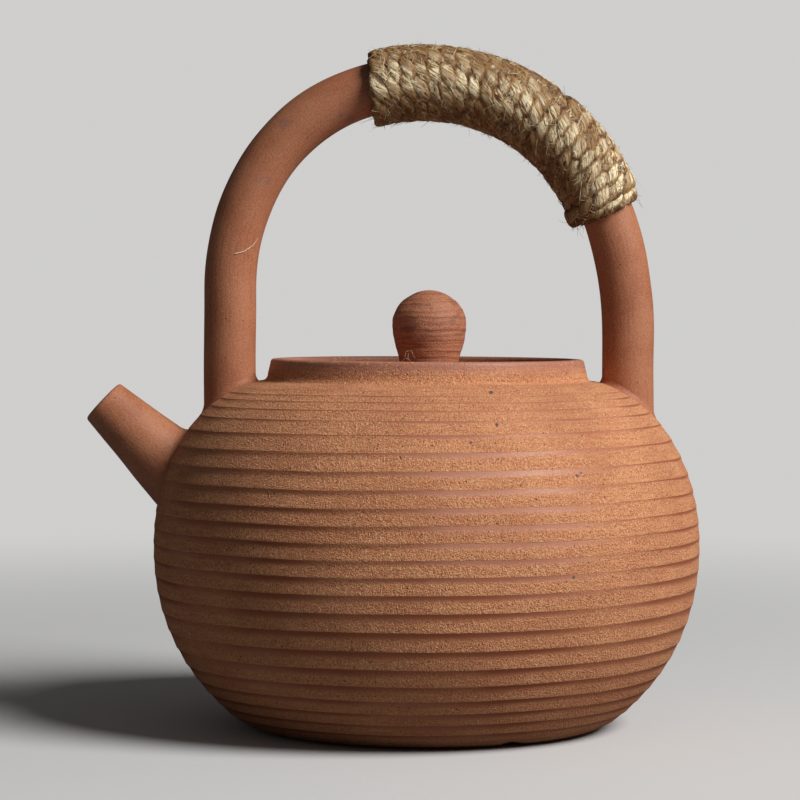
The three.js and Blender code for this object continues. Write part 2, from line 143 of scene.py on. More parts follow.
class Shader:
    """A material's node tree, with its patterns read in millimetres of Object coordinates."""

    def __init__(self, name: str) -> None:
        """Start an empty material.

        Args:
            name: The material's name.
        """
        self.material = bpy.data.materials.new(name)
        self.material.use_nodes = True
        self.tree = self.material.node_tree
        self.tree.nodes.clear()

    def node(
        self,
        kind: str,
        settings: dict[str, object] | None = None,
        sockets: dict[str | int, Value] | None = None,
        output: str | int = 0,
    ) -> Wire:
        """Add a node, set it up and feed its sockets.

        Args:
            kind: The node's type, without its ShaderNode prefix.
            settings: The node's own settings, set before its sockets.
            sockets: A value or a wire for each named or numbered input.
            output: The output that is returned.

        Returns:
            A wire from that output.
        """
        made = self.tree.nodes.new(f"ShaderNode{kind}")
        for name, setting in (settings or {}).items():
            if name == "stops":
                self._set_stops(made.color_ramp, setting)
            else:
                setattr(made, name, setting)
        for name, value in (sockets or {}).items():
            self._feed(made.inputs[name], value)
        return Wire(self, made.outputs[output])

    def _set_stops(self, ramp: bpy.types.ColorRamp, stops: Sequence[tuple[float, Colour]]) -> None:
        """Give a ramp its places and colours.

        Args:
            ramp: The ramp, which starts with two stops.
            stops: The place from 0 to 1 and the colour of each stop.
        """
        while len(ramp.elements) < len(stops):
            ramp.elements.new(0.5)
        for element, (place, colour) in zip(ramp.elements, stops):
            element.position = place
            element.color = (*colour, 1.0)

    def _feed(self, socket: bpy.types.NodeSocket, value: Value) -> None:
        """Link a wire to a socket, or set its number or colour.

        Args:
            socket: The input that is fed.
            value: A wire, a number, or a colour's or vector's parts.
        """
        if isinstance(value, Wire):
            self.tree.links.new(value.source, socket)
        elif socket.type == "RGBA":
            socket.default_value = (*value, 1.0)
        else:
            socket.default_value = value

    def maths(self, operation: str, *values: Wire | float) -> Wire:
        """A Math node's result for one or more values."""
        return self.node("Math", {"operation": operation}, dict(enumerate(values)))

    def blend(self, share: Value, low: Value, high: Value, way: str = "MIX") -> Wire:
        """Mix two colours.

        Args:
            share: How much of the second colour shows.
            low: The first colour.
            high: The second colour.
            way: How they mix.

        Returns:
            The mixed colour.
        """
        settings = {"data_type": "RGBA", "blend_type": way}
        return self.node("Mix", settings, {0: share, 6: low, 7: high}, 2)

    def place(self) -> Wire:
        """Object coordinates in millimetres."""
        return self.stretch(self.node("TexCoord", output="Object"), (PER_METRE,) * 3)

    def own(self, name: str, output: str) -> Wire:
        """An attribute that the piece carries, read as a number (Fac) or a Vector."""
        return self.node("Attribute", {"attribute_name": name}, output=output)

    def stretch(self, vector: Wire, scales: Sequence[float]) -> Wire:
        """A vector with each part multiplied."""
        return self.node("VectorMath", {"operation": "MULTIPLY"}, {0: vector, 1: scales})

    def cloud(self, vector: Wire, per_millimetre: float, detail: float = 2.0) -> Wire:
        """Soft noise from 0 to 1, with that many features to a millimetre."""
        return self.node("TexNoise", sockets={"Vector": vector, "Scale": per_millimetre, "Detail": detail})

    def step(self, value: Wire, low: Value, high: Value) -> Wire:
        """A smooth rise from 0 at low to 1 at high."""
        sockets = {"Value": value, "From Min": low, "From Max": high}
        return self.node("MapRange", {"interpolation_type": "SMOOTHSTEP"}, sockets)

    def grains(self, vector: Wire, spots: Spots) -> Wire:
        """Small round spots scattered evenly, only some of them kept.

        Args:
            vector: The place that is looked at, in millimetres.
            spots: Their number, size and share.

        Returns:
            1 inside a spot and 0 outside.
        """
        distance = self.node("TexVoronoi", sockets={"Vector": vector, "Scale": spots.per_millimetre})
        chance = self.node("SeparateColor", sockets={0: distance.other("Color")})
        reach = spots.radius * spots.per_millimetre
        spot = 1.0 - self.step(distance, reach * SPOT_CORE, reach)
        return spot * self.maths("GREATER_THAN", chance, 1.0 - spots.share)

    def finish(
        self,
        colour: Value,
        roughness: Value,
        height: Wire | None = None,
        more: dict[str, Value] | None = None,
    ) -> bpy.types.Material:
        """Close the tree with a Principled surface.

        Args:
            colour: The base colour.
            roughness: The roughness.
            height: The surface's fine relief in millimetres.
            more: What else the surface's sockets get.

        Returns:
            The material.
        """
        sockets: dict[str | int, Value] = {"Base Color": colour, "Roughness": roughness, **(more or {})}
        if height is not None:
            sockets["Normal"] = self.node("Bump", sockets={"Distance": MILLIMETRE, "Height": height})
        return self.close(self.node("BsdfPrincipled", sockets=sockets))

    def close(self, surface: Wire) -> bpy.types.Material:
        """Join a surface to the material's output.

        Args:
            surface: The shader that shows.

        Returns:
            The material.
        """
        output = self.tree.nodes.new("ShaderNodeOutputMaterial")
        self.tree.links.new(surface.source, output.inputs["Surface"])
        return self.material


@dataclass(frozen=True)
class ThrownClay:
    """Coarse clay from the wheel: sandy bands, and between them the smooth line that a finger pressed."""

    name: str = "thrown_clay"
    sand: Colour = (0.76, 0.325, 0.16)
    shade: Colour = (0.42, 0.145, 0.065)
    ochre: Colour = (0.80, 0.385, 0.175)
    # pink of the smooth line where the light meets the front: a painted sheen
    line: Colour = (0.57, 0.25, 0.165)
    # dark red core under the ridge: partly darker smooth clay, partly painted shade
    core: Colour = (0.25, 0.055, 0.017)
    pit_shade: Colour = (0.06, 0.02, 0.014)
    # pale specks: pale grains, also painted glints
    speck: Colour = (1.0, 0.74, 0.45)
    mineral: Colour = (0.085, 0.082, 0.1)
    lip: Colour = (0.40, 0.165, 0.12)
    grain_scale: float = 2.9
    grit_scale: float = 1.7
    lump_scale: float = 0.8
    drift_scale: float = 0.055
    drag_scales: tuple[float, float, float] = (0.1, 0.1, 1.6)
    pits: Spots = Spots(0.5, 0.25, 0.5)
    pricks: Spots = Spots(1.2, 0.15, 0.22)
    specks: Spots = Spots(1.4, 0.19, 0.35)
    minerals: Spots = Spots(0.1, 0.42, 0.22)
    # heights in millimetres over which painted shade darkens the sand towards the foot
    foot_shade_from: float = 32.0
    foot_shade_to: float = 6.0
    raggedness: float = 0.07
    ridge_edge: float = 0.03
    marks: tuple[tuple[float, float, float], ...] = (
        (17.8, 85.3, 0.5),
        (11.0, 81.0, 0.4),
        (37.3, 46.7, 0.45),
        (38.3, 72.3, 0.3),
        (16.5, 93.1, 0.55),
    )

    def make(self) -> bpy.types.Material:
        """Mix the sandy bands, the pressed line, pits and specks.

        Returns:
            The material.
        """
        shader = Shader(self.name)
        place = shader.place()
        grain = shader.cloud(place, self.grain_scale, 3.0)
        grit = shader.cloud(place, self.grit_scale, 1.5)
        lump = shader.cloud(place, self.lump_scale, 2.0)
        line, core = self._pressed_line(shader, place)
        dull_and_shade = shader.own("line_core", "Fac")
        lip = shader.own("lip", "Fac") * shader.step(lump, 0.3, 0.5)
        pits = shader.grains(place, self.pits)
        specks = shader.grains(place, self.specks)
        rough = 1.0 - line

        sand = self._sandy_bands(shader, place, grain, grit)
        # pale specks: pale grains of the sand, and painted glints on them
        sand = shader.blend(specks * rough * 0.8, sand, self.speck)
        sand = shader.blend(shader.grains(place, self.pricks) * 0.55, sand, self.shade)
        # pits painted near black: painted shade in the holes
        sand = shader.blend(pits * 0.9, sand, self.pit_shade)
        # the smooth line: pink painted sheen where its core is weak, the dark core where it is strong
        smooth = shader.blend(dull_and_shade * 0.82, self.line, self.core)
        smooth = shader.blend(shader.step(grain, 0.6, 0.35) * 0.35, smooth, self.shade)
        colour = shader.blend(line * 0.92, sand, smooth)
        # the dark core under the ridge: darker smooth clay and painted shade
        colour = shader.blend(core * 0.4, colour, self.core)
        colour = shader.blend(lip * 0.75, colour, self.lip)
        colour = shader.blend(shader.grains(place, self.minerals) * 0.85, colour, self.mineral)
        colour = shader.blend(self._named_marks(shader, place) * 0.9, colour, self.mineral)

        relief = (grain - 0.5) * rough * 0.48 + (grit - 0.5) * rough * 0.28
        relief = relief + (lump - 0.5) * rough * 0.25 + specks * rough * 0.2
        relief = (relief - pits * rough * 0.25) * (1.0 - lip * 0.7) - line * 0.07
        gloss = line * (0.52 - dull_and_shade * 0.4)
        roughness = 0.95 - gloss - lip * 0.35 + (lump - 0.5) * 0.1
        wet = line * (1.0 - dull_and_shade) * 0.5 + lip * 0.4
        more = {"Specular IOR Level": 0.22, "Coat Weight": wet, "Coat Roughness": 0.42}
        return shader.finish(colour, roughness, relief, more)

    def _sandy_bands(self, shader: Shader, place: Wire, grain: Wire, grit: Wire) -> Wire:
        """The clay between the pressed lines: sand, drag marks of the wheel and painted shade towards the
        foot.

        Args:
            shader: The shader that it is drawn in.
            place: Object coordinates in millimetres.
            grain: The fine noise.
            grit: The coarser noise.

        Returns:
            The bands' colour.
        """
        drift = shader.cloud(place, self.drift_scale, 2.0)
        drag = shader.cloud(shader.stretch(place, self.drag_scales), 1.0, 2.0)
        height = shader.node("SeparateXYZ", sockets={0: place}).other("Z")
        # painted shade: the sand darkens towards the foot
        foot = shader.step(height, self.foot_shade_from, self.foot_shade_to)
        sand = shader.blend(shader.step(grain, 0.36, 0.56), self.shade, self.sand)
        sand = shader.blend(shader.step(grit, 0.54, 0.7) * 0.34, sand, self.speck)
        sand = shader.blend(shader.step(grit, 0.48, 0.32) * 0.45, sand, self.shade)
        sand = shader.blend(shader.step(drag, 0.42, 0.68) * 0.5, sand, self.ochre)
        sand = shader.blend(shader.step(drift, 0.4, 0.62) * 0.25, sand, self.shade)
        return shader.blend(foot * 0.3, sand, self.shade)

    def _named_marks(self, shader: Shader, place: Wire) -> Wire:
        """The few dark minerals that show on the pot's front.

        Args:
            shader: The shader that they are drawn in.
            place: Object coordinates in millimetres.

        Returns:
            1 inside a mark and 0 outside.
        """
        seen_flat = shader.stretch(place, (1, 0, 1))
        ragged = (shader.cloud(place, 1.3, 2.0) - 0.5) * 0.9
        front = shader.maths("LESS_THAN", shader.node("SeparateXYZ", sockets={0: place}).other("Y"), 0.0)
        spots = shader.maths("ADD", 0.0, 0.0)
        for x, z, radius in self.marks:
            sockets = {0: seen_flat, 1: (x, 0, z)}
            distance = shader.node("VectorMath", {"operation": "DISTANCE"}, sockets, "Value")
            spots = spots + (1.0 - shader.step(distance + ragged, radius * 0.7, radius))
        return spots * front

    def _pressed_line(self, shader: Shader, place: Wire) -> tuple[Wire, Wire]:
        """The smooth line under the spiral ridge, crisp at the ridge and soft on its lower side.

        Args:
            shader: The shader that it is drawn in.
            place: Object coordinates in millimetres.

        Returns:
            1 in the line and 0 on the bands, and the same for the dark core under the ridge, partly painted
            shade.
        """
        x = shader.node("SeparateXYZ", sockets={0: place})
        angle = shader.maths("ARCTAN2", x.other("Y"), x)
        turns = shader.own("turns", "Fac") - angle * (1 / FULL_TURN)
        ragged = shader.cloud(place, 1.1, 3.0) - 0.5
        below = shader.maths("FRACT", 1.0 - turns - ragged * self.raggedness)
        width = shader.own("line_width", "Fac")
        edge = self.ridge_edge
        strength = shader.own("line_strength", "Fac") * shader.step(below, 0.0, edge)
        line = (1.0 - shader.step(below, width * 0.4, width * 1.2)) * strength
        # the dark core just under the ridge's edge, partly painted shade
        core = (1.0 - shader.step(below, edge, width * 0.55 + edge)) * strength
        return line, core * shader.own("line_core", "Fac")


@dataclass(frozen=True)
class HandClay:
    """The same clay smoothed with a wet hand: redder, finer, with faint streaks along the piece."""

    name: str = "smooth_clay"
    body: Colour = (0.435, 0.162, 0.08)
    red: Colour = (0.34, 0.108, 0.05)
    pale: Colour = (0.53, 0.23, 0.12)
    fleck: Colour = (0.68, 0.37, 0.22)
    pit_shade: Colour = (0.09, 0.035, 0.025)
    smudge: Colour = (0.22, 0.13, 0.13)
    along: tuple[float, float, float] = (0.1, 1.4, 1.4)
    streak_scale: float = 0.9
    grain_scale: float = 2.4
    drift_scale: float = 0.09
    smoke_scale: float = 0.13
    pits: Spots = Spots(0.4, 0.22, 0.25)
    specks: Spots = Spots(1.1, 0.12, 0.16)

    def make(self) -> bpy.types.Material:
        """Mix streaks, fine sand, a few pits and smoke smudges.

        Returns:
            The material.
        """
        shader = Shader(self.name)
        place = shader.place()
        rod = shader.stretch(shader.own("straight", "Vector"), (PER_METRE,) * 3)
        streak = shader.cloud(shader.stretch(rod, self.along), self.streak_scale, 3.0)
        grain = shader.cloud(place, self.grain_scale, 3.0)
        drift = shader.cloud(place, self.drift_scale, 2.0)
        smoke = shader.cloud(place, self.smoke_scale, 3.0)
        pits = shader.grains(place, self.pits)
        specks = shader.grains(place, self.specks)

        colour = shader.blend(shader.step(streak, 0.26, 0.46), self.red, self.body)
        colour = shader.blend(shader.step(drift, 0.42, 0.66) * 0.4, colour, self.pale)
        colour = shader.blend(shader.step(drift, 0.5, 0.34) * 0.45, colour, self.red)
        colour = shader.blend(shader.step(grain, 0.48, 0.66) * 0.5, colour, self.pale)
        colour = shader.blend(shader.step(grain, 0.52, 0.34) * 0.52, colour, self.red)
        colour = shader.blend(specks * 0.8, colour, self.fleck)
        colour = shader.blend(shader.step(smoke, 0.62, 0.74) * 0.5, colour, self.smudge)
        # pits painted near black: painted shade in the holes
        colour = shader.blend(pits * 0.7, colour, self.pit_shade)
        relief = (grain - 0.5) * 0.08 + (streak - 0.5) * 0.06 - pits * 0.16
        roughness = 0.55 + (grain - 0.5) * 0.3
        return shader.finish(colour, roughness, relief, {"Specular IOR Level": 0.32})


@dataclass(frozen=True)
class TurnedClay:
    """Clay turned on the wheel with a wet finger: rings round the axis, fine and reddish."""

    name: str = "lid_clay"
    body: Colour = (0.45, 0.175, 0.088)
    red: Colour = (0.31, 0.095, 0.05)
    pale: Colour = (0.56, 0.25, 0.135)
    pit_shade: Colour = (0.08, 0.032, 0.022)
    smoke: Colour = (0.20, 0.075, 0.05)
    glint: Colour = (0.78, 0.52, 0.36)
    rings: float = 0.9
    ring_sway: float = 1.6
    sway_scale: float = 0.09
    grain_scale: float = 2.4
    smoke_scale: float = 0.16
    smoke_squash: tuple[float, float, float] = (1, 1, 2.2)
    pits: Spots = Spots(0.55, 0.2, 0.25)
    specks: Spots = Spots(0.9, 0.16, 0.14)

    def make(self) -> bpy.types.Material:
        """Mix rings, fine sand and pits.

        Returns:
            The material.
        """
        shader = Shader(self.name)
        place = shader.place()
        axes = shader.node("SeparateXYZ", sockets={0: place})
        out = shader.maths("SQRT", axes * axes + axes.other("Y") * axes.other("Y"))
        sway = shader.cloud(place, self.sway_scale, 2.0)
        level = axes.other("Z") * self.rings + sway * self.ring_sway
        bent = shader.node("CombineXYZ", sockets={0: out * self.rings, 2: level})
        ring = shader.cloud(bent, 1.0, 2.0)
        grain = shader.cloud(place, self.grain_scale, 3.0)
        smoke = shader.cloud(shader.stretch(place, self.smoke_squash), self.smoke_scale, 3.0)
        pits = shader.grains(place, self.pits)
        specks = shader.grains(place, self.specks)

        colour = shader.blend(shader.step(ring, 0.36, 0.52), self.red, self.body)
        colour = shader.blend(shader.step(ring, 0.56, 0.76) * 0.5, colour, self.pale)
        colour = shader.blend(shader.step(grain, 0.48, 0.66) * 0.5, colour, self.pale)
        colour = shader.blend(shader.step(grain, 0.52, 0.34) * 0.55, colour, self.red)
        colour = shader.blend(shader.step(smoke, 0.52, 0.68) * 0.55, colour, self.smoke)
        # pits painted near black: painted shade in the holes
        colour = shader.blend(pits * 0.65, colour, self.pit_shade)
        colour = shader.blend(specks * 0.6, colour, self.glint)
        relief = (grain - 0.5) * 0.2 + (ring - 0.5) * 0.5 - pits * 0.12 + specks * 0.06
        roughness = 0.62 + (grain - 0.5) * 0.25 - specks * 0.2
        return shader.finish(colour, roughness, relief, {"Specular IOR Level": 0.45})


@dataclass(frozen=True)
class JuteYarn:
    """Three-ply jute: fibres that run along the plies, from pale straw to brown."""

    name: str = "jute_cord"
    dark: Colour = (0.10, 0.042, 0.015)
    brown: Colour = (0.34, 0.175, 0.062)
    straw: Colour = (0.83, 0.6, 0.31)
    pale: Colour = (1.0, 0.87, 0.59)
    # brown that darkens the rubbed stretches: dirt from hands, and painted shade on the arch's inside
    grime_and_shade: Colour = (0.38, 0.275, 0.18)
    tangle: float = 1.6
    tangle_scales: tuple[float, float, float] = (0.35, 0.8, 0.8)
    fibre_scales: tuple[float, float, float] = (0.25, 2.4, 2.4)
    fine_scales: tuple[float, float, float] = (0.6, 6.0, 6.0)
    patch_scales: tuple[float, float, float] = (0.11, 0.4, 0.4)
    tuft_scale: float = 0.9

    def make(self) -> bpy.types.Material:
        """Draw fibres along the plies, with brown patches, rubbed stretches, painted shade in the creases
        and on the arch's inside, and a painted highlight on the plies' crowns.

        Returns:
            The material.
        """
        shader = Shader(self.name)
        run = shader.stretch(shader.own("straight", "Vector"), (PER_METRE,) * 3)
        tangle = shader.cloud(shader.stretch(run, self.tangle_scales), 1.0, 2.0).other("Color")
        sockets = {0: tangle, 1: (0, self.tangle, self.tangle), 2: run}
        yarn = shader.node("VectorMath", {"operation": "MULTIPLY_ADD"}, sockets)
        fibre = shader.cloud(shader.stretch(yarn, self.fibre_scales), 1.0, 3.0)
        fine = shader.cloud(shader.stretch(yarn, self.fine_scales), 1.0, 2.0)
        patch = shader.cloud(shader.stretch(yarn, self.patch_scales), 1.0, 2.0)
        tuft = shader.cloud(shader.place(), self.tuft_scale, 3.0)
        crease_shade = shader.own("crease_shade", "Fac") + (tuft - 0.5) * 1.1
        crown = shader.own("crown", "Fac") * shader.step(fibre, 0.4, 0.6)

        stops = [(0.36, self.dark), (0.42, self.brown), (0.465, self.straw), (0.53, self.pale)]
        colour = shader.node("ValToRGB", {"stops": stops}, {0: fibre * 0.6 + fine * 0.4})
        # painted highlight on the plies' crowns
        colour = shader.blend(crown * 0.35, colour, self.pale)
        colour = shader.blend(shader.step(patch, 0.5, 0.62) * 0.7, colour, self.brown)
        # wear from hands, and painted shade on the arch's inside
        colour = shader.blend(shader.own("worn_and_shade", "Fac"), colour, self.grime_and_shade, "MULTIPLY")
        # painted shade in the creases: brown, then dark in the deepest
        colour = shader.blend(shader.step(crease_shade, 0.3, 0.62) * 0.85, colour, self.brown)
        colour = shader.blend(shader.step(crease_shade, 0.64, 1.0) * 0.9, colour, self.dark)
        relief = (fibre - 0.5) * 0.5 + (fine - 0.5) * 0.25
        return shader.finish(colour, 0.75, relief, {"Specular IOR Level": 0.3})


@dataclass(frozen=True)
class LooseFibre:
    """A hair of jute that has come away, in patches of brown and pale."""

    name: str = "loose_fibre"
    brown: Colour = (0.15, 0.08, 0.035)
    pale: Colour = (0.85, 0.72, 0.48)
    tone_scale: float = 0.35

    def make(self) -> bpy.types.Material:
        """Vary the hairs from brown to pale.

        Returns:
            The material.
        """
        shader = Shader(self.name)
        tone = shader.cloud(shader.place(), self.tone_scale, 2.0)
        colour = shader.blend(shader.step(tone, 0.38, 0.62), self.brown, self.pale)
        return shader.finish(colour, 0.6)


@dataclass(frozen=True)
class PaleFloor:
    """A plain pale floor that turns into the backdrop's colour away from the pot."""

    name: str = "pale_floor"
    pale: Colour = (0.71, 0.706, 0.695)
    bounce: Colour = (0.22, 0.217, 0.213)
    backdrop: Colour = (0.625, 0.62, 0.61)
    fade_from: float = 170.0
    fade_to: float = 700.0
    mottle_scale: float = 0.02

    def make(self) -> bpy.types.Material:
        """Light the floor near the pot, and show the backdrop's colour to the camera further off.

        Returns:
            The material.
        """
        shader = Shader(self.name)
        place = shader.place()
        distance = shader.node("VectorMath", {"operation": "LENGTH"}, {0: place}, "Value")
        seen = shader.node("LightPath", output="Is Camera Ray")
        far = shader.step(distance, self.fade_from, self.fade_to) * seen
        mottle = shader.cloud(place, self.mottle_scale, 2.0)
        colour = shader.blend(mottle * 0.04, self.pale, self.backdrop)
        colour = shader.blend(seen, self.bounce, colour)
        near = shader.node("BsdfPrincipled", sockets={"Base Color": colour, "Roughness": 0.85})
        beyond = shader.node("Emission", sockets={"Color": self.backdrop, "Strength": 1.0})
        return shader.close(shader.node("MixShader", sockets={0: far, 1: near, 2: beyond}))


def start_fresh() -> None:
    """Leave edit mode and select nothing, so that an operator acts on what is added next."""
    if bpy.context.object is not None and bpy.context.object.mode != "OBJECT":
        bpy.ops.object.mode_set(mode="OBJECT")
    bpy.ops.object.select_all(action="DESELECT")


def make_active(piece: bpy.types.Object) -> None:
    """Select one object and nothing else, in object mode.

    Args:
        piece: The object that the next operators act on.
    """
    start_fresh()
    piece.select_set(True)
    bpy.context.view_layer.objects.active = piece


def places_of(piece: bpy.types.Object) -> np.ndarray:
    """Read a piece's vertices.

    Args:
        piece: The mesh object.

    Returns:
        Their places, one row each.
    """
    flat = np.empty(len(piece.data.vertices) * 3, np.float32)
    piece.data.vertices.foreach_get("co", flat)
    return flat.reshape(-1, 3).astype(float)


def normals_of(piece: bpy.types.Object) -> np.ndarray:
    """Read the outward direction at each of a piece's vertices.

    Args:
        piece: The mesh object.

    Returns:
        The directions, one row each.
    """
    flat = np.empty(len(piece.data.vertices) * 3, np.float32)
    piece.data.vertex_normals.foreach_get("vector", flat)
    return flat.reshape(-1, 3).astype(float)


def move_to(piece: bpy.types.Object, places: np.ndarray) -> None:
    """Put the piece's vertices at new places."""
    piece.data.vertices.foreach_set("co", places.astype(np.float32).ravel())
    piece.data.update()


def paint(piece: bpy.types.Object, name: str, values: np.ndarray) -> None:
    """Give each vertex a number or a vector that the piece's material reads.

    Args:
        piece: The mesh object.
        name: The attribute's name.
        values: One number, or one row of three, for each vertex.
    """
    is_vector = values.ndim == 2
    attribute = piece.data.attributes.new(name, "FLOAT_VECTOR" if is_vector else "FLOAT", "POINT")
    attribute.data.foreach_set("vector" if is_vector else "value", values.astype(np.float32).ravel())


def uneven(places: np.ndarray, size: float, seed: int) -> np.ndarray:
    """Smooth noise from about -1 to 1 at each place.

    Args:
        places: The places, one row each.
        size: The distance over which it changes.
        seed: Picks another stretch of the same noise.

    Returns:
        One number for each place.
    """
    shift = Vector((seed * 3.7, seed * 1.3, seed * 2.9))
    return np.array([noise.noise(Vector(place) / size + shift) for place in places])


def smooth_rise(value: np.ndarray, low: float, high: float) -> np.ndarray:
    """A smooth rise from 0 at low to 1 at high."""
    share = np.clip((value - low) / (high - low), 0, 1)
    return share * share * (3 - 2 * share)


def hump(value: np.ndarray, middle: float, width: float) -> np.ndarray:
    """A smooth hump that is 1 at its middle and soon 0 on both sides."""
    return np.exp(-(((value - middle) / width) ** 2))


def squarer(wave: np.ndarray) -> np.ndarray:
    """A wave from -1 to 1 with broader tops, which makes a round section squarer."""
    return np.sign(wave) * np.abs(wave) ** 0.8


def ways_along(places: np.ndarray) -> np.ndarray:
    """The way that a line runs at each of its points, of length one."""
    ways = np.gradient(places, axis=0)
    return ways / np.linalg.norm(ways, axis=1)[:, None]


def read_line(at_distances: np.ndarray, distances: np.ndarray, rows: np.ndarray) -> np.ndarray:
    """Read rows that belong to a line's points between those points.

    Args:
        at_distances: The distances along the line that are asked for.
        distances: The distance along the line to each of its points.
        rows: What each of its points carries, three numbers a row.

    Returns:
        One row for each distance that is asked for.
    """
    return np.stack([np.interp(at_distances, distances, rows[:, axis]) for axis in range(3)], axis=1)


@dataclass(frozen=True)
class Rise:
    """A smooth rise from 0 at one value to 1 at another."""

    low: float
    high: float

    def of(self, value: np.ndarray) -> np.ndarray:
        """How far it has risen at each value."""
        return smooth_rise(value, self.low, self.high)


@dataclass(frozen=True)
class Wander:
    """Smooth noise that makes a hand-made shape uneven: how much, over what distance, and which noise."""

    amount: float
    size: float
    seed: int

    def of(self, places: np.ndarray) -> np.ndarray:
        """The noise at each place, up to about its amount either way."""
        return self.amount * uneven(places, self.size, self.seed)


@dataclass(frozen=True)
class Span:
    """One Bézier stretch of an outline, its points given as (distance from the axis, height)."""

    start: Vector
    first_pull: Vector
    second_pull: Vector
    end: Vector
    steps: int

    def points(self) -> list[Vector]:
        """Points along the span, both ends included."""
        knots = [point.to_3d() for point in (self.start, self.first_pull, self.second_pull, self.end)]
        return [point.to_2d() for point in interpolate_bezier(*knots, self.steps + 1)]

    def split(self, share: float) -> tuple["Span", "Span"]:
        """Cut the span in two without changing its shape.

        Args:
            share: Where it is cut, from 0 at its start to 1 at its end.

        Returns:
            The parts before and after the cut.
        """
        first = self.start.lerp(self.first_pull, share)
        middle = self.first_pull.lerp(self.second_pull, share)
        last = self.second_pull.lerp(self.end, share)
        start_side = first.lerp(middle, share)
        end_side = middle.lerp(last, share)
        knot = start_side.lerp(end_side, share)
        before = Span(self.start, first, start_side, knot, self.steps)
        return before, Span(knot, end_side, last, self.end, self.steps)


def at(radius: float, height: float) -> Vector:
    """A point of an outline."""
    return Vector((radius, height))


def straight(start: Vector, end: Vector, steps: int = 1) -> Span:
    """A straight stretch of an outline."""
    return Span(start, start.lerp(end, 1 / 3), start.lerp(end, 2 / 3), end, steps)


def rounded(start: Vector, tip: Vector, end: Vector, steps: int = 5) -> Span:
    """A rounded corner of an outline, from start to end, pulled towards its tip."""
    return Span(start, start.lerp(tip, 2 / 3), end.lerp(tip, 2 / 3), end, steps)


def joined(corners: Sequence[Vector | tuple[Vector, Vector, Vector]]) -> list[Span]:
    """Straight stretches between plain points and rounded corners.

    Args:
        corners: A point each, or the start, tip and end of a rounded corner.

    Returns:
        The spans in order.
    """
    spans = []
    last = None
    for corner in corners:
        first = corner[0] if isinstance(corner, tuple) else corner
        if last is not None and (first - last).length > WELD:
            spans.append(straight(last, first))
        if isinstance(corner, tuple):
            spans.append(rounded(*corner))
        last = corner[2] if isinstance(corner, tuple) else corner
    return spans


def add_curve(name: str) -> bpy.types.Object:
    """Add a curve object at the origin and name it.

    Args:
        name: The piece's name.

    Returns:
        The curve, active and selected by itself.
    """
    start_fresh()
    bpy.ops.curve.primitive_bezier_curve_add(location=(0, 0, 0))
    piece = bpy.context.object
    piece.name = name
    return piece


def set_knot(point: bpy.types.BezierSplinePoint, place: Vector, before: Vector, after: Vector) -> None:
    """Place one knot of a curve.

    Args:
        point: The curve's knot.
        place: Where the curve passes.
        before: Its handle on the side that the curve comes from.
        after: Its handle on the side that the curve leaves by.
    """
    point.handle_left_type = "FREE"
    point.handle_right_type = "FREE"
    point.co = place
    point.handle_left = before
    point.handle_right = after


def turned(name: str, spans: Iterable[Span], sides: int) -> bpy.types.Object:
    """Draw an outline as curves, make it a mesh and spin it round Z.

    Args:
        name: The piece's name.
        spans: The outline's stretches, end to end.
        sides: How many steps the spin has.

    Returns:
        The closed piece, with its faces pointing outwards.
    """
    piece = add_curve(name)
    piece.data.splines.clear()
    for span in spans:
        spline = piece.data.splines.new("BEZIER")
        spline.resolution_u = span.steps
        spline.bezier_points.add(1)
        ends = ((span.start, span.first_pull), (span.end, span.second_pull))
        for point, (knot, pull) in zip(spline.bezier_points, ends):
            handle = Vector((pull.x, 0, pull.y))
            set_knot(point, Vector((knot.x, 0, knot.y)), handle, handle)
    bpy.ops.object.convert(target="MESH")
    bpy.ops.object.mode_set(mode="EDIT")
    bpy.ops.mesh.select_all(action="SELECT")
    bpy.ops.mesh.remove_doubles(threshold=WELD)
    bpy.ops.mesh.spin(steps=sides, angle=FULL_TURN, center=(0, 0, 0), axis=(0, 0, 1))
    tidy_shell()
    return piece


def tidy_shell() -> None:
    """Merge the active piece's doubles, turn all its faces outwards and shade it smooth."""
    bpy.ops.object.mode_set(mode="EDIT")
    bpy.ops.mesh.select_all(action="SELECT")
    bpy.ops.mesh.remove_doubles(threshold=WELD)
    bpy.ops.mesh.normals_make_consistent(inside=False)
    bpy.ops.object.mode_set(mode="OBJECT")
    bpy.ops.object.shade_smooth_by_angle(angle=SMOOTH_ANGLE)


def drill(piece: bpy.types.Object, start: Vector, end: Vector, radius: float, sides: int = 40) -> None:
    """Cut a round hole through a piece.

    Args:
        piece: The piece that is cut.
        start: Where the drill starts.
        end: Where it ends.
        radius: The hole's radius.
        sides: How many sides the hole has.
    """
    start_fresh()
    way = end - start
    bpy.ops.mesh.primitive_cylinder_add(
        vertices=sides,
        radius=radius,
        depth=way.length,
        location=(start + end) / 2,
        rotation=way.to_track_quat("Z", "Y").to_euler(),
    )
    cutter = bpy.context.object
    make_active(piece)
    cut = piece.modifiers.new("hole", "BOOLEAN")
    cut.operation = "DIFFERENCE"
    cut.solver = "MANIFOLD"
    cut.object = cutter
    bpy.ops.object.modifier_apply(modifier=cut.name)
    bpy.data.objects.remove(cutter)
    bpy.ops.object.shade_smooth_by_angle(angle=SMOOTH_ANGLE)


def mesh_piece(
    name: str, points: Sequence[Sequence[float]], faces: Sequence[Sequence[int]]
) -> bpy.types.Object:
    """Add a mesh object to the scene.

    Args:
        name: The piece's name.
        points: Its vertices.
        faces: The numbers of the vertices round each face.

    Returns:
        The mesh object.
    """
    mesh = bpy.data.meshes.new(name)
    mesh.from_pydata(points, [], faces)
    piece = bpy.data.objects.new(name, mesh)
    bpy.context.scene.collection.objects.link(piece)
    return piece


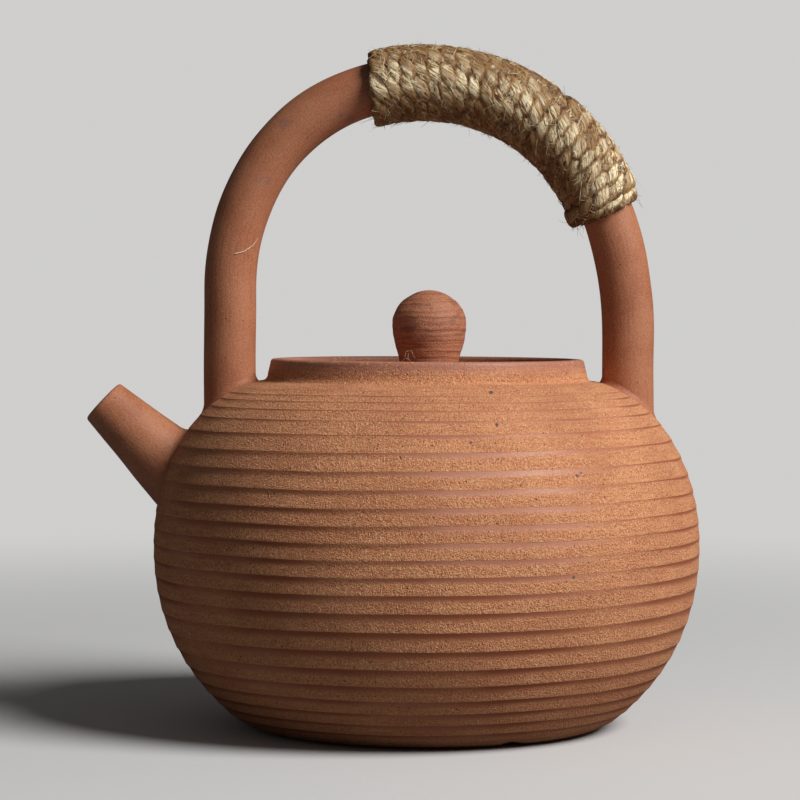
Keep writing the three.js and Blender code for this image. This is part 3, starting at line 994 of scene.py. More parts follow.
def swept(name: str, rings: np.ndarray) -> bpy.types.Object:
    """Join rings of points into one tube with flat ends.

    Args:
        name: The piece's name.
        rings: The points, as rings by sides by three.

    Returns:
        The tube, with its faces pointing outwards.
    """
    count, sides = rings.shape[:2]
    here = np.arange(count - 1)[:, None] * sides
    beyond = here + sides
    side = np.arange(sides)[None, :]
    after = (side + 1) % sides
    faces = np.stack([here + side, here + after, beyond + after, beyond + side], axis=2)
    faces = faces.reshape(-1, 4).tolist()
    faces.append(list(range(sides))[::-1])
    faces.append(list(range((count - 1) * sides, count * sides)))
    piece = mesh_piece(name, rings.reshape(-1, 3).tolist(), faces)
    make_active(piece)
    tidy_shell()
    return piece


def strands(name: str, lines: Sequence[tuple[Sequence[Vector], float]]) -> bpy.types.Object:
    """Thin tapering hairs in one piece.

    Args:
        name: The piece's name.
        lines: For each hair its places from root to tip, and its thickness at the root.

    Returns:
        The hairs' mesh object.
    """
    points, faces = [], []
    for places, thickness in lines:
        base = len(points)
        last = len(places) - 1
        for number, place in enumerate(places):
            way = places[min(number + 1, last)] - places[max(number - 1, 0)]
            turn = way.to_track_quat("Z", "X")
            size = thickness * (1 - HAIR_TAPER * number / last)
            ring = len(points)
            for side in range(HAIR_SIDES):
                angle = FULL_TURN * side / HAIR_SIDES
                points.append(place + turn @ Vector((math.cos(angle) * size, math.sin(angle) * size, 0)))
                if number:
                    after = (side + 1) % HAIR_SIDES
                    below = ring - HAIR_SIDES
                    faces.append((below + side, below + after, ring + after, ring + side))
        faces.append(tuple(range(ring, ring + HAIR_SIDES)))
        faces.append(tuple(range(base, base + HAIR_SIDES))[::-1])
    return mesh_piece(name, points, faces)


def hand_over(
    piece: bpy.types.Object, finish: bpy.types.Material, body: Body, slot: Slot, *nodes: str
) -> None:
    """Give a piece its finish and its body, let it stand for its nodes, and report it.

    Args:
        piece: The finished mesh.
        finish: Its material.
        body: The body that it rides on.
        slot: The record's slot that it takes its finish from; not used.
        nodes: The nodes that it stands for.
    """
    piece.data.materials.clear()
    piece.data.materials.append(finish)
    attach(piece, body.value)
    if nodes:
        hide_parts(*nodes)
    triangles = sum(len(face.vertices) - 2 for face in piece.data.polygons)
    LOG.info("%s: %d triangles, rides on %s", piece.name, triangles, body.value)


@dataclass(frozen=True)
class PotShape:
    """The pot's outer sizes, which all that is stuck to it follows."""

    heel_radius: float = 0.0494
    heel_round: float = 0.0064
    belly_radius: float = 0.0751
    belly_height: float = 0.0498
    shoulder_height: float = 0.0947
    neck_radius: float = 0.0454
    rim_radius: float = 0.0432
    collar_radius: float = 0.0439
    collar_cove: float = 0.0022
    rim_height: float = 0.1008
    mouth_radius: float = 0.0394
    wall: float = 0.0046
    floor: float = 0.006
    ledge_height: float = 0.0935
    ledge_underside: float = 0.0899
    ledge_radius: float = 0.0345
    heel_out_share: float = 0.537
    heel_up_share: float = 0.206
    heel_cut_share: float = 0.13
    belly_down_share: float = 0.492
    belly_up_share: float = 0.69
    neck_out_share: float = 0.313
    fine_steps: int = 200
    halvings: int = 24

    def side(self, grow: float, base: float, shoulder: float, steps: int) -> list[Span]:
        """The wall's outline from the base's flat to the neck.

        Args:
            grow: How far it is moved outwards.
            base: The height of its foot.
            shoulder: The height at which it reaches the neck.
            steps: How many steps each of its two curves has.

        Returns:
            The heel's rounding, the belly's curve and the shoulder's curve.
        """
        heel = at(self.heel_radius + grow, base)
        belly = at(self.belly_radius + grow, self.belly_height)
        neck = at(self.neck_radius, shoulder)
        out, drop = belly.x - heel.x, belly.y - base
        inwards, rise = belly.x - neck.x, shoulder - belly.y
        low_pull = at(heel.x + out * self.heel_out_share, base + drop * self.heel_up_share)
        belly_pull = at(belly.x, belly.y - drop * self.belly_down_share)
        lower = Span(heel, low_pull, belly_pull, belly, steps).split(self.heel_cut_share)[1]
        high_pull = at(belly.x, belly.y + rise * self.belly_up_share)
        neck_pull = at(neck.x + inwards * self.neck_out_share, shoulder)
        upper = Span(belly, high_pull, neck_pull, neck, steps)
        return [rounded(at(heel.x - self.heel_round, base), heel, lower.start), lower, upper]

    def outline(self) -> np.ndarray:
        """Trace the outer wall from the base up to the neck.

        Returns:
            Its fine points, as (radius, height) rows.
        """
        spans = self.side(0, 0, self.shoulder_height, self.fine_steps)
        points = [spans[0].start, *(point for span in spans for point in span.points()[1:])]
        return np.array([tuple(point) for point in points])

    def radius_at(self, height: np.ndarray) -> np.ndarray:
        """The outer wall's radius at each height."""
        wall = self.outline()
        return np.interp(height, wall[:, 1], wall[:, 0])

    def length_at(self, height: np.ndarray) -> np.ndarray:
        """Measure along the outer wall.

        Args:
            height: The heights that are asked for.

        Returns:
            The distance along the wall from the base's flat up to each height.
        """
        wall = self.outline()
        steps = np.hypot(*np.diff(wall, axis=0).T)
        return np.interp(height, wall[:, 1], np.concatenate([[0], np.cumsum(steps)]))

    def meet(self, starts: np.ndarray, direction: np.ndarray, reach: float = 0.03) -> np.ndarray:
        """Where lines leave the pot.

        Args:
            starts: A place on each line, one row each.
            direction: The way outwards, of length one.
            reach: How far either side of its place each line is searched.

        Returns:
            The distance from each start to the wall, along the direction.
        """
        wall = self.outline()
        low = np.full(len(starts), -reach)
        high = np.full(len(starts), reach)
        for _ in range(self.halvings):
            middle = (low + high) / 2
            place = starts + middle[:, None] * direction
            wide = np.interp(place[:, 2], wall[:, 1], wall[:, 0])
            within = (np.hypot(place[:, 0], place[:, 1]) < wide) & (place[:, 2] < self.shoulder_height)
            low = np.where(within, middle, low)
            high = np.where(within, high, middle)
        return (low + high) / 2


@dataclass(frozen=True)
class Spiral:
    """The ridge that a finger left while the wheel turned: one spiral, a nearly even step for each turn."""

    turns_per_metre: float = 210.5
    first_turn: float = -2.85
    sway: float = 0.2
    sway_from: float = 0.013
    sway_length: float = 0.055
    crowd_from: float = 0.0995
    crowd_length: float = 0.014
    crowd: float = 0.94
    crowd_bend: float = 1.8
    depth: float = 0.00024
    underside: float = 0.3
    underside_bend: float = 1.7
    slope_bend: float = 1.4

    def turns(self, length: np.ndarray) -> np.ndarray:
        """Count the spiral's turns at the pot's front.

        Args:
            length: Distances along the wall.

        Returns:
            How many turns it has made at each distance.
        """
        swing = self.sway * np.sin(FULL_TURN * (length - self.sway_from) / self.sway_length)
        beyond = np.clip((length - self.crowd_from) / self.crowd_length, 0, None)
        crowd = self.crowd * beyond**self.crowd_bend
        return length * self.turns_per_metre + self.first_turn + swing + crowd

    def hollow(self, turns: np.ndarray) -> np.ndarray:
        """Shape one turn: steep under the ridge, then a slow slope out.

        Args:
            turns: The turns made at each place, with the place's own angle counted.

        Returns:
            How deep the wall lies there, from 0 on the ridge to 1.
        """
        below = -turns % 1
        under = 1 - (1 - np.clip(below / self.underside, 0, 1)) ** self.underside_bend
        slope = 1 - np.clip((below - self.underside) / (1 - self.underside), 0, 1) ** self.slope_bend
        return np.where(below < self.underside, under, slope)


@dataclass(frozen=True)
class PotZones:
    """How far each place of the pot lies in the zones where the throwing line changes, from 0 to 1.

    is_outer is the whole outer wall. wall is the same, faded in at the foot and out at the neck. collar is
    the collar's outside and below_lip its part under the lip. high is the wall's upper half and top its
    shoulder. soft is the front where the light meets it, shaded the rest of the front, and thin is where the
    line is narrow.
    """

    is_outer: np.ndarray
    wall: np.ndarray
    collar: np.ndarray
    below_lip: np.ndarray
    high: np.ndarray
    top: np.ndarray
    soft: np.ndarray
    shaded: np.ndarray
    thin: np.ndarray


@dataclass
class PotBody:
    """The thrown pot: flat base, round belly, collar and the ledge that carries the lid."""

    shape: PotShape
    spiral: Spiral = field(default_factory=Spiral)
    sides: int = 180
    wall_steps: int = 175
    inside_steps: int = 24
    flat_steps: int = 6
    neck_cut_share: float = 0.965
    collar_pitch: float = 0.0015
    collar_inset: float = 0.002
    lip_inset: float = 0.0002
    rim_round: float = 0.0012
    ledge_round: float = 0.0006
    chip_at: float = 0.0224
    chip_width: float = 0.0021
    chip_rise: float = 0.0007
    chip_reach: float = 0.002
    chip_fade: Rise = Rise(0.0006, 0.0035)
    foot_fade: Rise = Rise(0.0015, 0.0040)
    neck_fade: Rise = Rise(0.0915, 0.0940)
    collar_foot: Rise = Rise(0.0958, 0.0962)
    collar_head: Rise = Rise(0.0990, 0.0994)
    lip_rise: Rise = Rise(0.0984, 0.0996)
    upper_half: Rise = Rise(0.036, 0.056)
    shoulder: Rise = Rise(0.072, 0.086)
    front: Rise = Rise(0, 0.020)
    lit_from: Rise = Rise(-0.022, 0.014)
    lit_to: Rise = Rise(0.042, 0.062)
    thin_from: Rise = Rise(0.036, 0.060)
    line_width: float = 0.36
    line_wander: Wander = Wander(0.07, 0.035, 1)
    press_wander: Wander = Wander(0.6, 0.03, 2)
    width_wander: Wander = Wander(0.6, 0.022, 3)
    swell: Wander = Wander(0.00012, 0.03, 4)
    collar_wander: Wander = Wander(1, 0.02, 13)
    strength_wander: Wander = Wander(0.8, 0.026, 14)
    core_wander: Wander = Wander(0.5, 0.02, 15)

    def build(self) -> bpy.types.Object:
        """Spin the outline, press the spiral into the wall and chip the foot.

        Returns:
            The pot's mesh object.
        """
        piece = turned("thrown_pot", self._outline(), self.sides)
        places = places_of(piece)
        radius = np.hypot(places[:, 0], places[:, 1])
        angle = np.arctan2(places[:, 1], places[:, 0])
        zones = self._zones(places, radius)
        turns = self._turns(places, zones)
        line = self._painted_line(places, zones)
        hollow = self.spiral.hollow(turns - angle / FULL_TURN) * self._press(places, zones)
        inward = self.spiral.depth * hollow - self.swell.of(places) * zones.is_outer
        places -= normals_of(piece) * inward[:, None]
        places[:, 2] += self._chip(places, radius)
        move_to(piece, places)
        paint(piece, "turns", turns)
        is_lip = radius > self.shape.mouth_radius - self.lip_inset
        paint(piece, "lip", self.lip_rise.of(places[:, 2]) * is_lip)
        for name, values in line.items():
            paint(piece, name, values)
        return piece

    def _zones(self, places: np.ndarray, radius: np.ndarray) -> PotZones:
        """Work out in which zones each place lies.

        Args:
            places: The pot's vertices before the spiral is pressed in.
            radius: Their distance from the axis.

        Returns:
            Each zone's share at each place.
        """
        shape = self.shape
        x, height = places[:, 0], places[:, 2]
        is_outer = (radius > shape.radius_at(height) - shape.wall / 2) & (height < shape.shoulder_height)
        collar = self.collar_foot.of(height) * (radius > shape.mouth_radius + self.collar_inset)
        high, top = self.upper_half.of(height), self.shoulder.of(height)
        front = self.front.of(-places[:, 1])
        facing = self.lit_from.of(x) * front
        return PotZones(
            is_outer=is_outer,
            wall=self.foot_fade.of(height) * (1 - self.neck_fade.of(height)) * is_outer,
            collar=collar,
            below_lip=collar * (1 - self.collar_head.of(height)),
            high=high,
            top=top,
            soft=high * facing * (1 - self.lit_to.of(x)),
            shaded=high * (1 - facing) * front,
            thin=np.maximum(top, high * self.thin_from.of(x)),
        )

    def _turns(self, places: np.ndarray, zones: PotZones) -> np.ndarray:
        """Count the throwing line's turns at each place, on the wall and on the collar.

        Args:
            places: The pot's vertices before the spiral is pressed in.
            zones: The zones that they lie in.

        Returns:
            The turns at each place, without the place's own angle.
        """
        height = places[:, 2]
        wall = self.spiral.turns(self.shape.length_at(height)) + FRONT_TURN + self.line_wander.of(places)
        collar = (height - self.shape.shoulder_height) / self.collar_pitch
        return np.where(zones.collar > 0, collar, wall)

    def _press(self, places: np.ndarray, zones: PotZones) -> np.ndarray:
        """Vary how hard the finger pressed: weaker on the shoulder and where the light meets the front.

        Args:
            places: The pot's vertices before the spiral is pressed in.
            zones: The zones that they lie in.

        Returns:
            The share of the spiral's depth at each place.
        """
        press = np.clip(0.85 + self.press_wander.of(places), 0.4, 1.2) * (1 - 0.55 * zones.top) * zones.wall
        press *= 1 - 0.5 * zones.soft + 0.6 * zones.shaded
        return press + 0.25 * zones.below_lip

    def _painted_line(self, places: np.ndarray, zones: PotZones) -> dict[str, np.ndarray]:
        """Vary the painted line: wide and dark low down, thin and pale towards the light.

        Args:
            places: The pot's vertices before the spiral is pressed in.
            zones: The zones that they lie in.

        Returns:
            Its width in turns, its strength and its core's darkness, by the names that the clay reads.
        """
        high, thin = zones.high, zones.thin
        # darker and wider low down: partly painted shade
        strength = np.clip(0.95 - 0.15 * high + self.strength_wander.of(places), 0.2, 1) * zones.wall
        strength += 0.5 * zones.below_lip * (0.6 + self.collar_wander.of(places))
        width = self.line_width * (1 + 0.4 * (1 - high) - 0.55 * thin + self.width_wander.of(places))
        # the core fades where the light meets the front, leaving the line's pink as a painted sheen
        core = 1 - 0.2 * high - 0.75 * zones.soft + 0.4 * thin + self.core_wander.of(places)
        return {"line_width": width, "line_strength": strength, "line_core": np.clip(core, 0, 1)}

    def _chip(self, places: np.ndarray, radius: np.ndarray) -> np.ndarray:
        """Break a small chip out of the foot's front edge.

        Args:
            places: The pot's vertices with the spiral pressed in.
            radius: Their distance from the axis before that.

        Returns:
            How far each place is lifted.
        """
        edge = self.shape.heel_radius - self.shape.heel_round - self.chip_reach
        chip = hump(places[:, 0], self.chip_at, self.chip_width) * (places[:, 1] < 0)
        chip *= (radius > edge) * (1 - self.chip_fade.of(places[:, 2]))
        return self.chip_rise * chip

    def _outline(self) -> list[Span]:
        """Draw the closed outline.

        Returns:
            Its stretches from the base's middle round the outside and back to the floor's middle.
        """
        shape = self.shape
        collar, lip, rim, mouth = shape.collar_radius, shape.rim_radius, shape.rim_height, shape.mouth_radius
        ledge, ledge_top, soft = shape.ledge_radius, shape.ledge_height, self.ledge_round
        side = shape.side(0, 0, shape.shoulder_height, self.wall_steps)
        side[-1] = side[-1].split(self.neck_cut_share)[0]
        foot = side[-1].end
        top = joined([
            (foot, at(collar, foot.y), at(collar, foot.y + shape.collar_cove)),
            (at(lip, rim - self.rim_round), at(lip, rim), at(lip - self.rim_round, rim)),
            (at(mouth + self.rim_round, rim), at(mouth, rim), at(mouth, rim - self.rim_round)),
            at(mouth, ledge_top),
            (at(ledge + soft, ledge_top), at(ledge, ledge_top), at(ledge, ledge_top - soft)),
            at(ledge, shape.ledge_underside),
            at(shape.neck_radius, shape.ledge_underside),
        ])
        inside = shape.side(-shape.wall, shape.floor, shape.ledge_underside, self.inside_steps)
        base = straight(at(0, 0), side[0].start, self.flat_steps)
        floor = straight(at(0, shape.floor), inside[0].start, self.flat_steps)
        return [base, *side, *top, *inside, floor]


@dataclass
class SmearedSeam:
    """A hollow fillet of clay, smoothed into the corner round a rod or tube that stands on the pot.

    root is a point of the rod's axis near the wall, outward is the axis, and first and second are square to
    it.
    """

    shape: PotShape
    root: Vector
    outward: Vector
    first: Vector
    second: Vector
    radius: float
    size: float = 0.0017
    sunk: float = 0.0009
    around: int = 120
    across: int = 16
    buried: int = 4
    lumps: Wander = Wander(0.35, 0.7, 6)

    def build(self, name: str) -> bpy.types.Object:
        """Lay a ring of clay round the rod and fit it to the wall.

        Args:
            name: The piece's name.

        Returns:
            The seam's mesh object.
        """
        start_fresh()
        bpy.ops.mesh.primitive_torus_add(
            major_segments=self.around, minor_segments=self.across, location=(0, 0, 0)
        )
        piece = bpy.context.object
        piece.name = name
        number = np.arange(self.around * self.across)
        turn = FULL_TURN * (number // self.across) / self.around
        off_rod, up_rod = self._section(number % self.across)
        outward = np.array(self.outward)
        first, second = np.array(self.first), np.array(self.second)
        directions = np.cos(turn)[:, None] * first + np.sin(turn)[:, None] * second
        lumps = 1 + self.lumps.of(directions)
        starts = np.array(self.root) + directions * (self.radius + off_rod * lumps)[:, None]
        reach = self.shape.meet(starts, outward) + up_rod * lumps
        move_to(piece, starts + outward * reach[:, None])
        make_active(piece)
        tidy_shell()
        paint(piece, "straight", places_of(piece))
        return piece

    def _section(self, step: np.ndarray) -> tuple[np.ndarray, np.ndarray]:
        """Shape the fillet's section: a hollow quarter circle that shows, and a back buried in the clay.

        Args:
            step: Each vertex's number round the section.

        Returns:
            How far each lies from the rod's surface, and how far from the wall along the rod.
        """
        shown = self.across - self.buried
        share = np.clip(step / shown, 0, 1)
        hidden = np.clip(step - shown, 0, None)
        bend = share * math.pi / 2
        back = self.size * (1 - hidden / (self.buried - 1)) - self.sunk
        off_rod = np.where(hidden > 0, back, self.size * (1 - np.cos(bend)))
        up_rod = np.where(hidden > 0, -2 * self.sunk, self.size * (1 - np.sin(bend)) - self.sunk * share**2)
        off_rod[step == 0] = -self.sunk
        return off_rod, up_rod


@dataclass
class Spout:
    """The short tapered tube, cut to the wall, and the smoothed clay round its root."""

    shape: PotShape
    root: Vector = Vector((-0.07101, 0, 0.07169))
    tilt: float = math.radians(43)
    length: float = 0.0252
    tip_radius: float = 0.0068
    root_radius: float = 0.0100
    tip_bore: float = 0.0046
    root_bore: float = 0.0072
    lip_round: float = 0.0011
    flare: float = 1.05
    sunk: float = 0.0016
    seam_overlap: float = 0.0004
    side_margin: float = 0.0001
    sides: int = 72
    root_steps: int = 3
    side_steps: int = 48
    bore_steps: int = 24
    lumps: Wander = Wander(0.00012, 0.009, 5)

    def __post_init__(self) -> None:
        """Work out the spout's own directions: outwards, level and steep."""
        self.outward = Vector((-math.cos(self.tilt), 0, math.sin(self.tilt)))
        self.level = Vector((0, 1, 0))
        self.steep = self.level.cross(self.outward)

    def radius_at(self, distance: np.ndarray) -> np.ndarray:
        """Work out the tube's taper.

        Args:
            distance: Distances outwards along the axis from its root.

        Returns:
            The outer radius at each distance.
        """
        side = self.length - self.lip_round
        share = np.clip((side - distance) / side, 0, None)
        return self.tip_radius + (self.root_radius - self.tip_radius) * share**self.flare

    def build(self) -> bpy.types.Object:
        """Spin the tube, then slant it onto its axis so that its root lies in the pot's wall.

        Returns:
            The spout's mesh object.
        """
        length, lip = self.length, self.lip_round
        tip, wide = self.tip_radius, self.root_radius
        piece = turned("spout_tube", self._outline(), self.sides)
        own = places_of(piece)
        out = np.hypot(own[:, 0], own[:, 1])
        cosine, sine = own[:, 0] / out, own[:, 1] / out
        root, outward = np.array(self.root), np.array(self.outward)
        level, steep = np.array(self.level), np.array(self.steep)
        across = cosine[:, None] * level + sine[:, None] * steep
        foot = self.shape.meet(root + across * out[:, None], outward) - self.sunk
        distance = foot + (length - foot) * own[:, 2] / length
        share = own[:, 2] / (length - lip)
        is_side = (out > wide - (wide - tip) * share - self.side_margin) & (share < 1)
        out = np.where(is_side, self.radius_at(distance), out)
        places = root + across * out[:, None] + outward * distance[:, None]
        places += across * self.lumps.of(places)[:, None]
        move_to(piece, places)
        paint(piece, "straight", np.stack([distance, cosine * out, sine * out], axis=1))
        return piece

    def _outline(self) -> list[Span]:
        """Draw the closed outline of the straight tube, its root at zero.

        Returns:
            Its stretches from the bore's root round the outside and back down the bore.
        """
        length, lip = self.length, self.lip_round
        tip, bore = self.tip_radius, self.tip_bore
        return [
            straight(at(self.root_bore, 0), at(self.root_radius, 0), self.root_steps),
            straight(at(self.root_radius, 0), at(tip, length - lip), self.side_steps),
            rounded(at(tip, length - lip), at(tip, length), at(tip - lip, length)),
            straight(at(tip - lip, length), at(bore + lip, length)),
            rounded(at(bore + lip, length), at(bore, length), at(bore, length - lip)),
            straight(at(bore, length - lip), at(self.root_bore, 0), self.bore_steps),
        ]

    def luting(self) -> bpy.types.Object:
        """Smooth clay into the corner between the spout and the pot.

        Returns:
            The seam's mesh object.
        """
        radius = self.root_radius - self.seam_overlap
        seam = SmearedSeam(self.shape, self.root, self.outward, self.level, self.steep, radius)
        return seam.build("spout_smear")


@dataclass
class HandleArch:
    """The pulled clay rod that arches over the lid, and the smoothed clay at its feet."""

    shape: PotShape
    radius: float = 0.00715
    front_reach: float = 0.0544
    rear_reach: float = 0.0552
    front_top: float = 0.1189
    rear_top: float = 0.1058
    crown_height: float = 0.1766
    crown_offset: float = 0.0011
    leg_start: float = 0.0831
    foot_pull: float = 0.01
    front_rise_share: float = 0.555
    front_crown_share: float = 0.613
    rear_crown_share: float = 0.391
    rear_rise_share: float = 0.802
    sunk: float = 0.0012
    search: float = 0.06
    seam_rise: float = 0.006
    wobble: Wander = Wander(0.00018, 0.016, 7)
    round_steps: int = 18
    arch_steps: int = 60
    fine_steps: int = 200

    def knots(self) -> list[tuple[Vector, Vector, Vector]]:
        """Place the centre line's knots, from the spout's side over to the other.

        Returns:
            Each knot's place, with its pulls before and after it.
        """
        front_rise = self.crown_height - self.front_top
        rear_rise = self.crown_height - self.rear_top
        front_span = self.front_reach - self.crown_offset
        rear_span = self.rear_reach + self.crown_offset
        front_foot = Vector((-self.front_reach, 0, self.leg_start))
        front_top = Vector((-self.front_reach, 0, self.front_top))
        crown = Vector((-self.crown_offset, 0, self.crown_height))
        rear_top = Vector((self.rear_reach, 0, self.rear_top))
        rear_foot = Vector((self.rear_reach, 0, self.leg_start))
        up = Vector((0, 0, 1))
        along = Vector((1, 0, 0))
        before_crown = crown - along * front_span * self.front_crown_share
        after_crown = crown + along * rear_span * self.rear_crown_share
        front_pull = front_top + up * front_rise * self.front_rise_share
        rear_pull = rear_top + up * rear_rise * self.rear_rise_share
        return [
            (front_foot, front_foot - up * self.foot_pull, front_foot.lerp(front_top, 1 / 3)),
            (front_top, front_foot.lerp(front_top, 2 / 3), front_pull),
            (crown, before_crown, after_crown),
            (rear_top, rear_pull, rear_top.lerp(rear_foot, 1 / 3)),
            (rear_foot, rear_top.lerp(rear_foot, 2 / 3), rear_foot - up * self.foot_pull),
        ]

    def line(self) -> tuple[np.ndarray, np.ndarray]:
        """Trace the centre line.

        Returns:
            Its fine points, and the distance along it to each.
        """
        knots = self.knots()
        points = []
        for (start, _, pull), (end, other_pull, _) in zip(knots, knots[1:]):
            stretch = interpolate_bezier(start, pull, other_pull, end, self.fine_steps)
            points += [tuple(point) for point in stretch[:-1]]
        places = np.array([*points, tuple(knots[-1][0])])
        steps = np.linalg.norm(np.diff(places, axis=0), axis=1)
        return places, np.concatenate([[0], np.cumsum(steps)])

    def crown_distance(self) -> float:
        """The distance along the centre line from the spout's side up to its top."""
        places, distances = self.line()
        return float(distances[np.argmin(np.linalg.norm(places - np.array(self.knots()[2][0]), axis=1))])

    def straightened(self, places: np.ndarray) -> np.ndarray:
        """Read places near the rod as if it lay straight.

        Args:
            places: The places, one row each.

        Returns:
            For each its distance along the rod, away from the arch's middle, and across.
        """
        centres, distances = self.line()
        tangents = ways_along(centres)
        nearest = np.array([np.argmin(((centres - place) ** 2).sum(axis=1)) for place in places])
        offset = places - centres[nearest]
        along = distances[nearest] + (offset * tangents[nearest]).sum(axis=1)
        outside = tangents[nearest][:, 2] * -offset[:, 0] + tangents[nearest][:, 0] * offset[:, 2]
        return np.stack([along, outside, offset[:, 1]], axis=1)

    def build(self) -> bpy.types.Object:
        """Sweep the rod along its centre line and set its feet into the shoulder.

        Returns:
            The handle's mesh object.
        """
        piece = add_curve("pulled_handle")
        spline = piece.data.splines[0]
        knots = self.knots()
        spline.bezier_points.add(len(knots) - len(spline.bezier_points))
        for point, knot in zip(spline.bezier_points, knots):
            set_knot(point, *knot)
        piece.data.bevel_depth = self.radius
        piece.data.bevel_resolution = self.round_steps
        piece.data.resolution_u = self.arch_steps
        piece.data.use_fill_caps = True
        bpy.ops.object.convert(target="MESH")
        tidy_shell()
        places = places_of(piece)
        places += normals_of(piece) * self.wobble.of(places)[:, None]
        lifted = self._on_shoulder(places)
        paint(piece, "straight", self.straightened(lifted))
        move_to(piece, lifted)
        return piece

    def _on_shoulder(self, places: np.ndarray) -> np.ndarray:
        """Lift what lies deep in the pot to just under its surface.

        Args:
            places: The rod's vertices.

        Returns:
            The same with the feet's ends lifted.
        """
        below = places.copy()
        below[:, 2] = self.shape.belly_height
        surface = self.shape.belly_height + self.shape.meet(below, np.array((0, 0, 1)), self.search)
        lifted = places.copy()
        lifted[:, 2] = np.maximum(places[:, 2], surface - self.sunk)
        return lifted

    def lutings(self) -> tuple[bpy.types.Object, bpy.types.Object]:
        """Smooth clay round both feet.

        Returns:
            The seam on the spout's side, and the other.
        """
        directions = (Vector((0, 0, 1)), Vector((1, 0, 0)), Vector((0, 1, 0)))
        foot = self.leg_start + self.seam_rise
        roots = (Vector((-self.front_reach, 0, foot)), Vector((self.rear_reach, 0, foot)))
        front, rear = (SmearedSeam(self.shape, root, *directions, self.radius) for root in roots)
        return front.build("front_smear"), rear.build("rear_smear")


@dataclass(frozen=True)
class CordLine:
    """The winding's centre line step by step: its place, the three ways of its section, run and angle.

    away points from the rod, along is the way the cord runs, and across is square to both. run is the
    distance along the cord, and angle is how far it has wound round the rod, from the arch's outside.
    """

    place: np.ndarray
    away: np.ndarray
    along: np.ndarray
    across: np.ndarray
    run: np.ndarray
    angle: np.ndarray


@dataclass(frozen=True)
class HairHabit:
    """How the jute's loose hairs lie: ranges of even draws, and spreads of draws round a middle."""

    number: int = 9000
    lengths: tuple[float, float] = (0.0015, 0.0045)
    length_factors: tuple[int, ...] = (1, 1, 1, 1, 1, 1, 2)
    thicknesses: tuple[float, float] = (0.00005, 0.00011)
    steps: int = 3
    root_share: float = 0.85
    lean_spread: float = 0.8
    cross_spread: float = 0.9
    lift: float = 0.06
    lift_spread: float = 0.13
    curls: tuple[float, float] = (-1.4, -0.5)
    curl_spread: float = 0.08
    bend_spread: float = 0.18


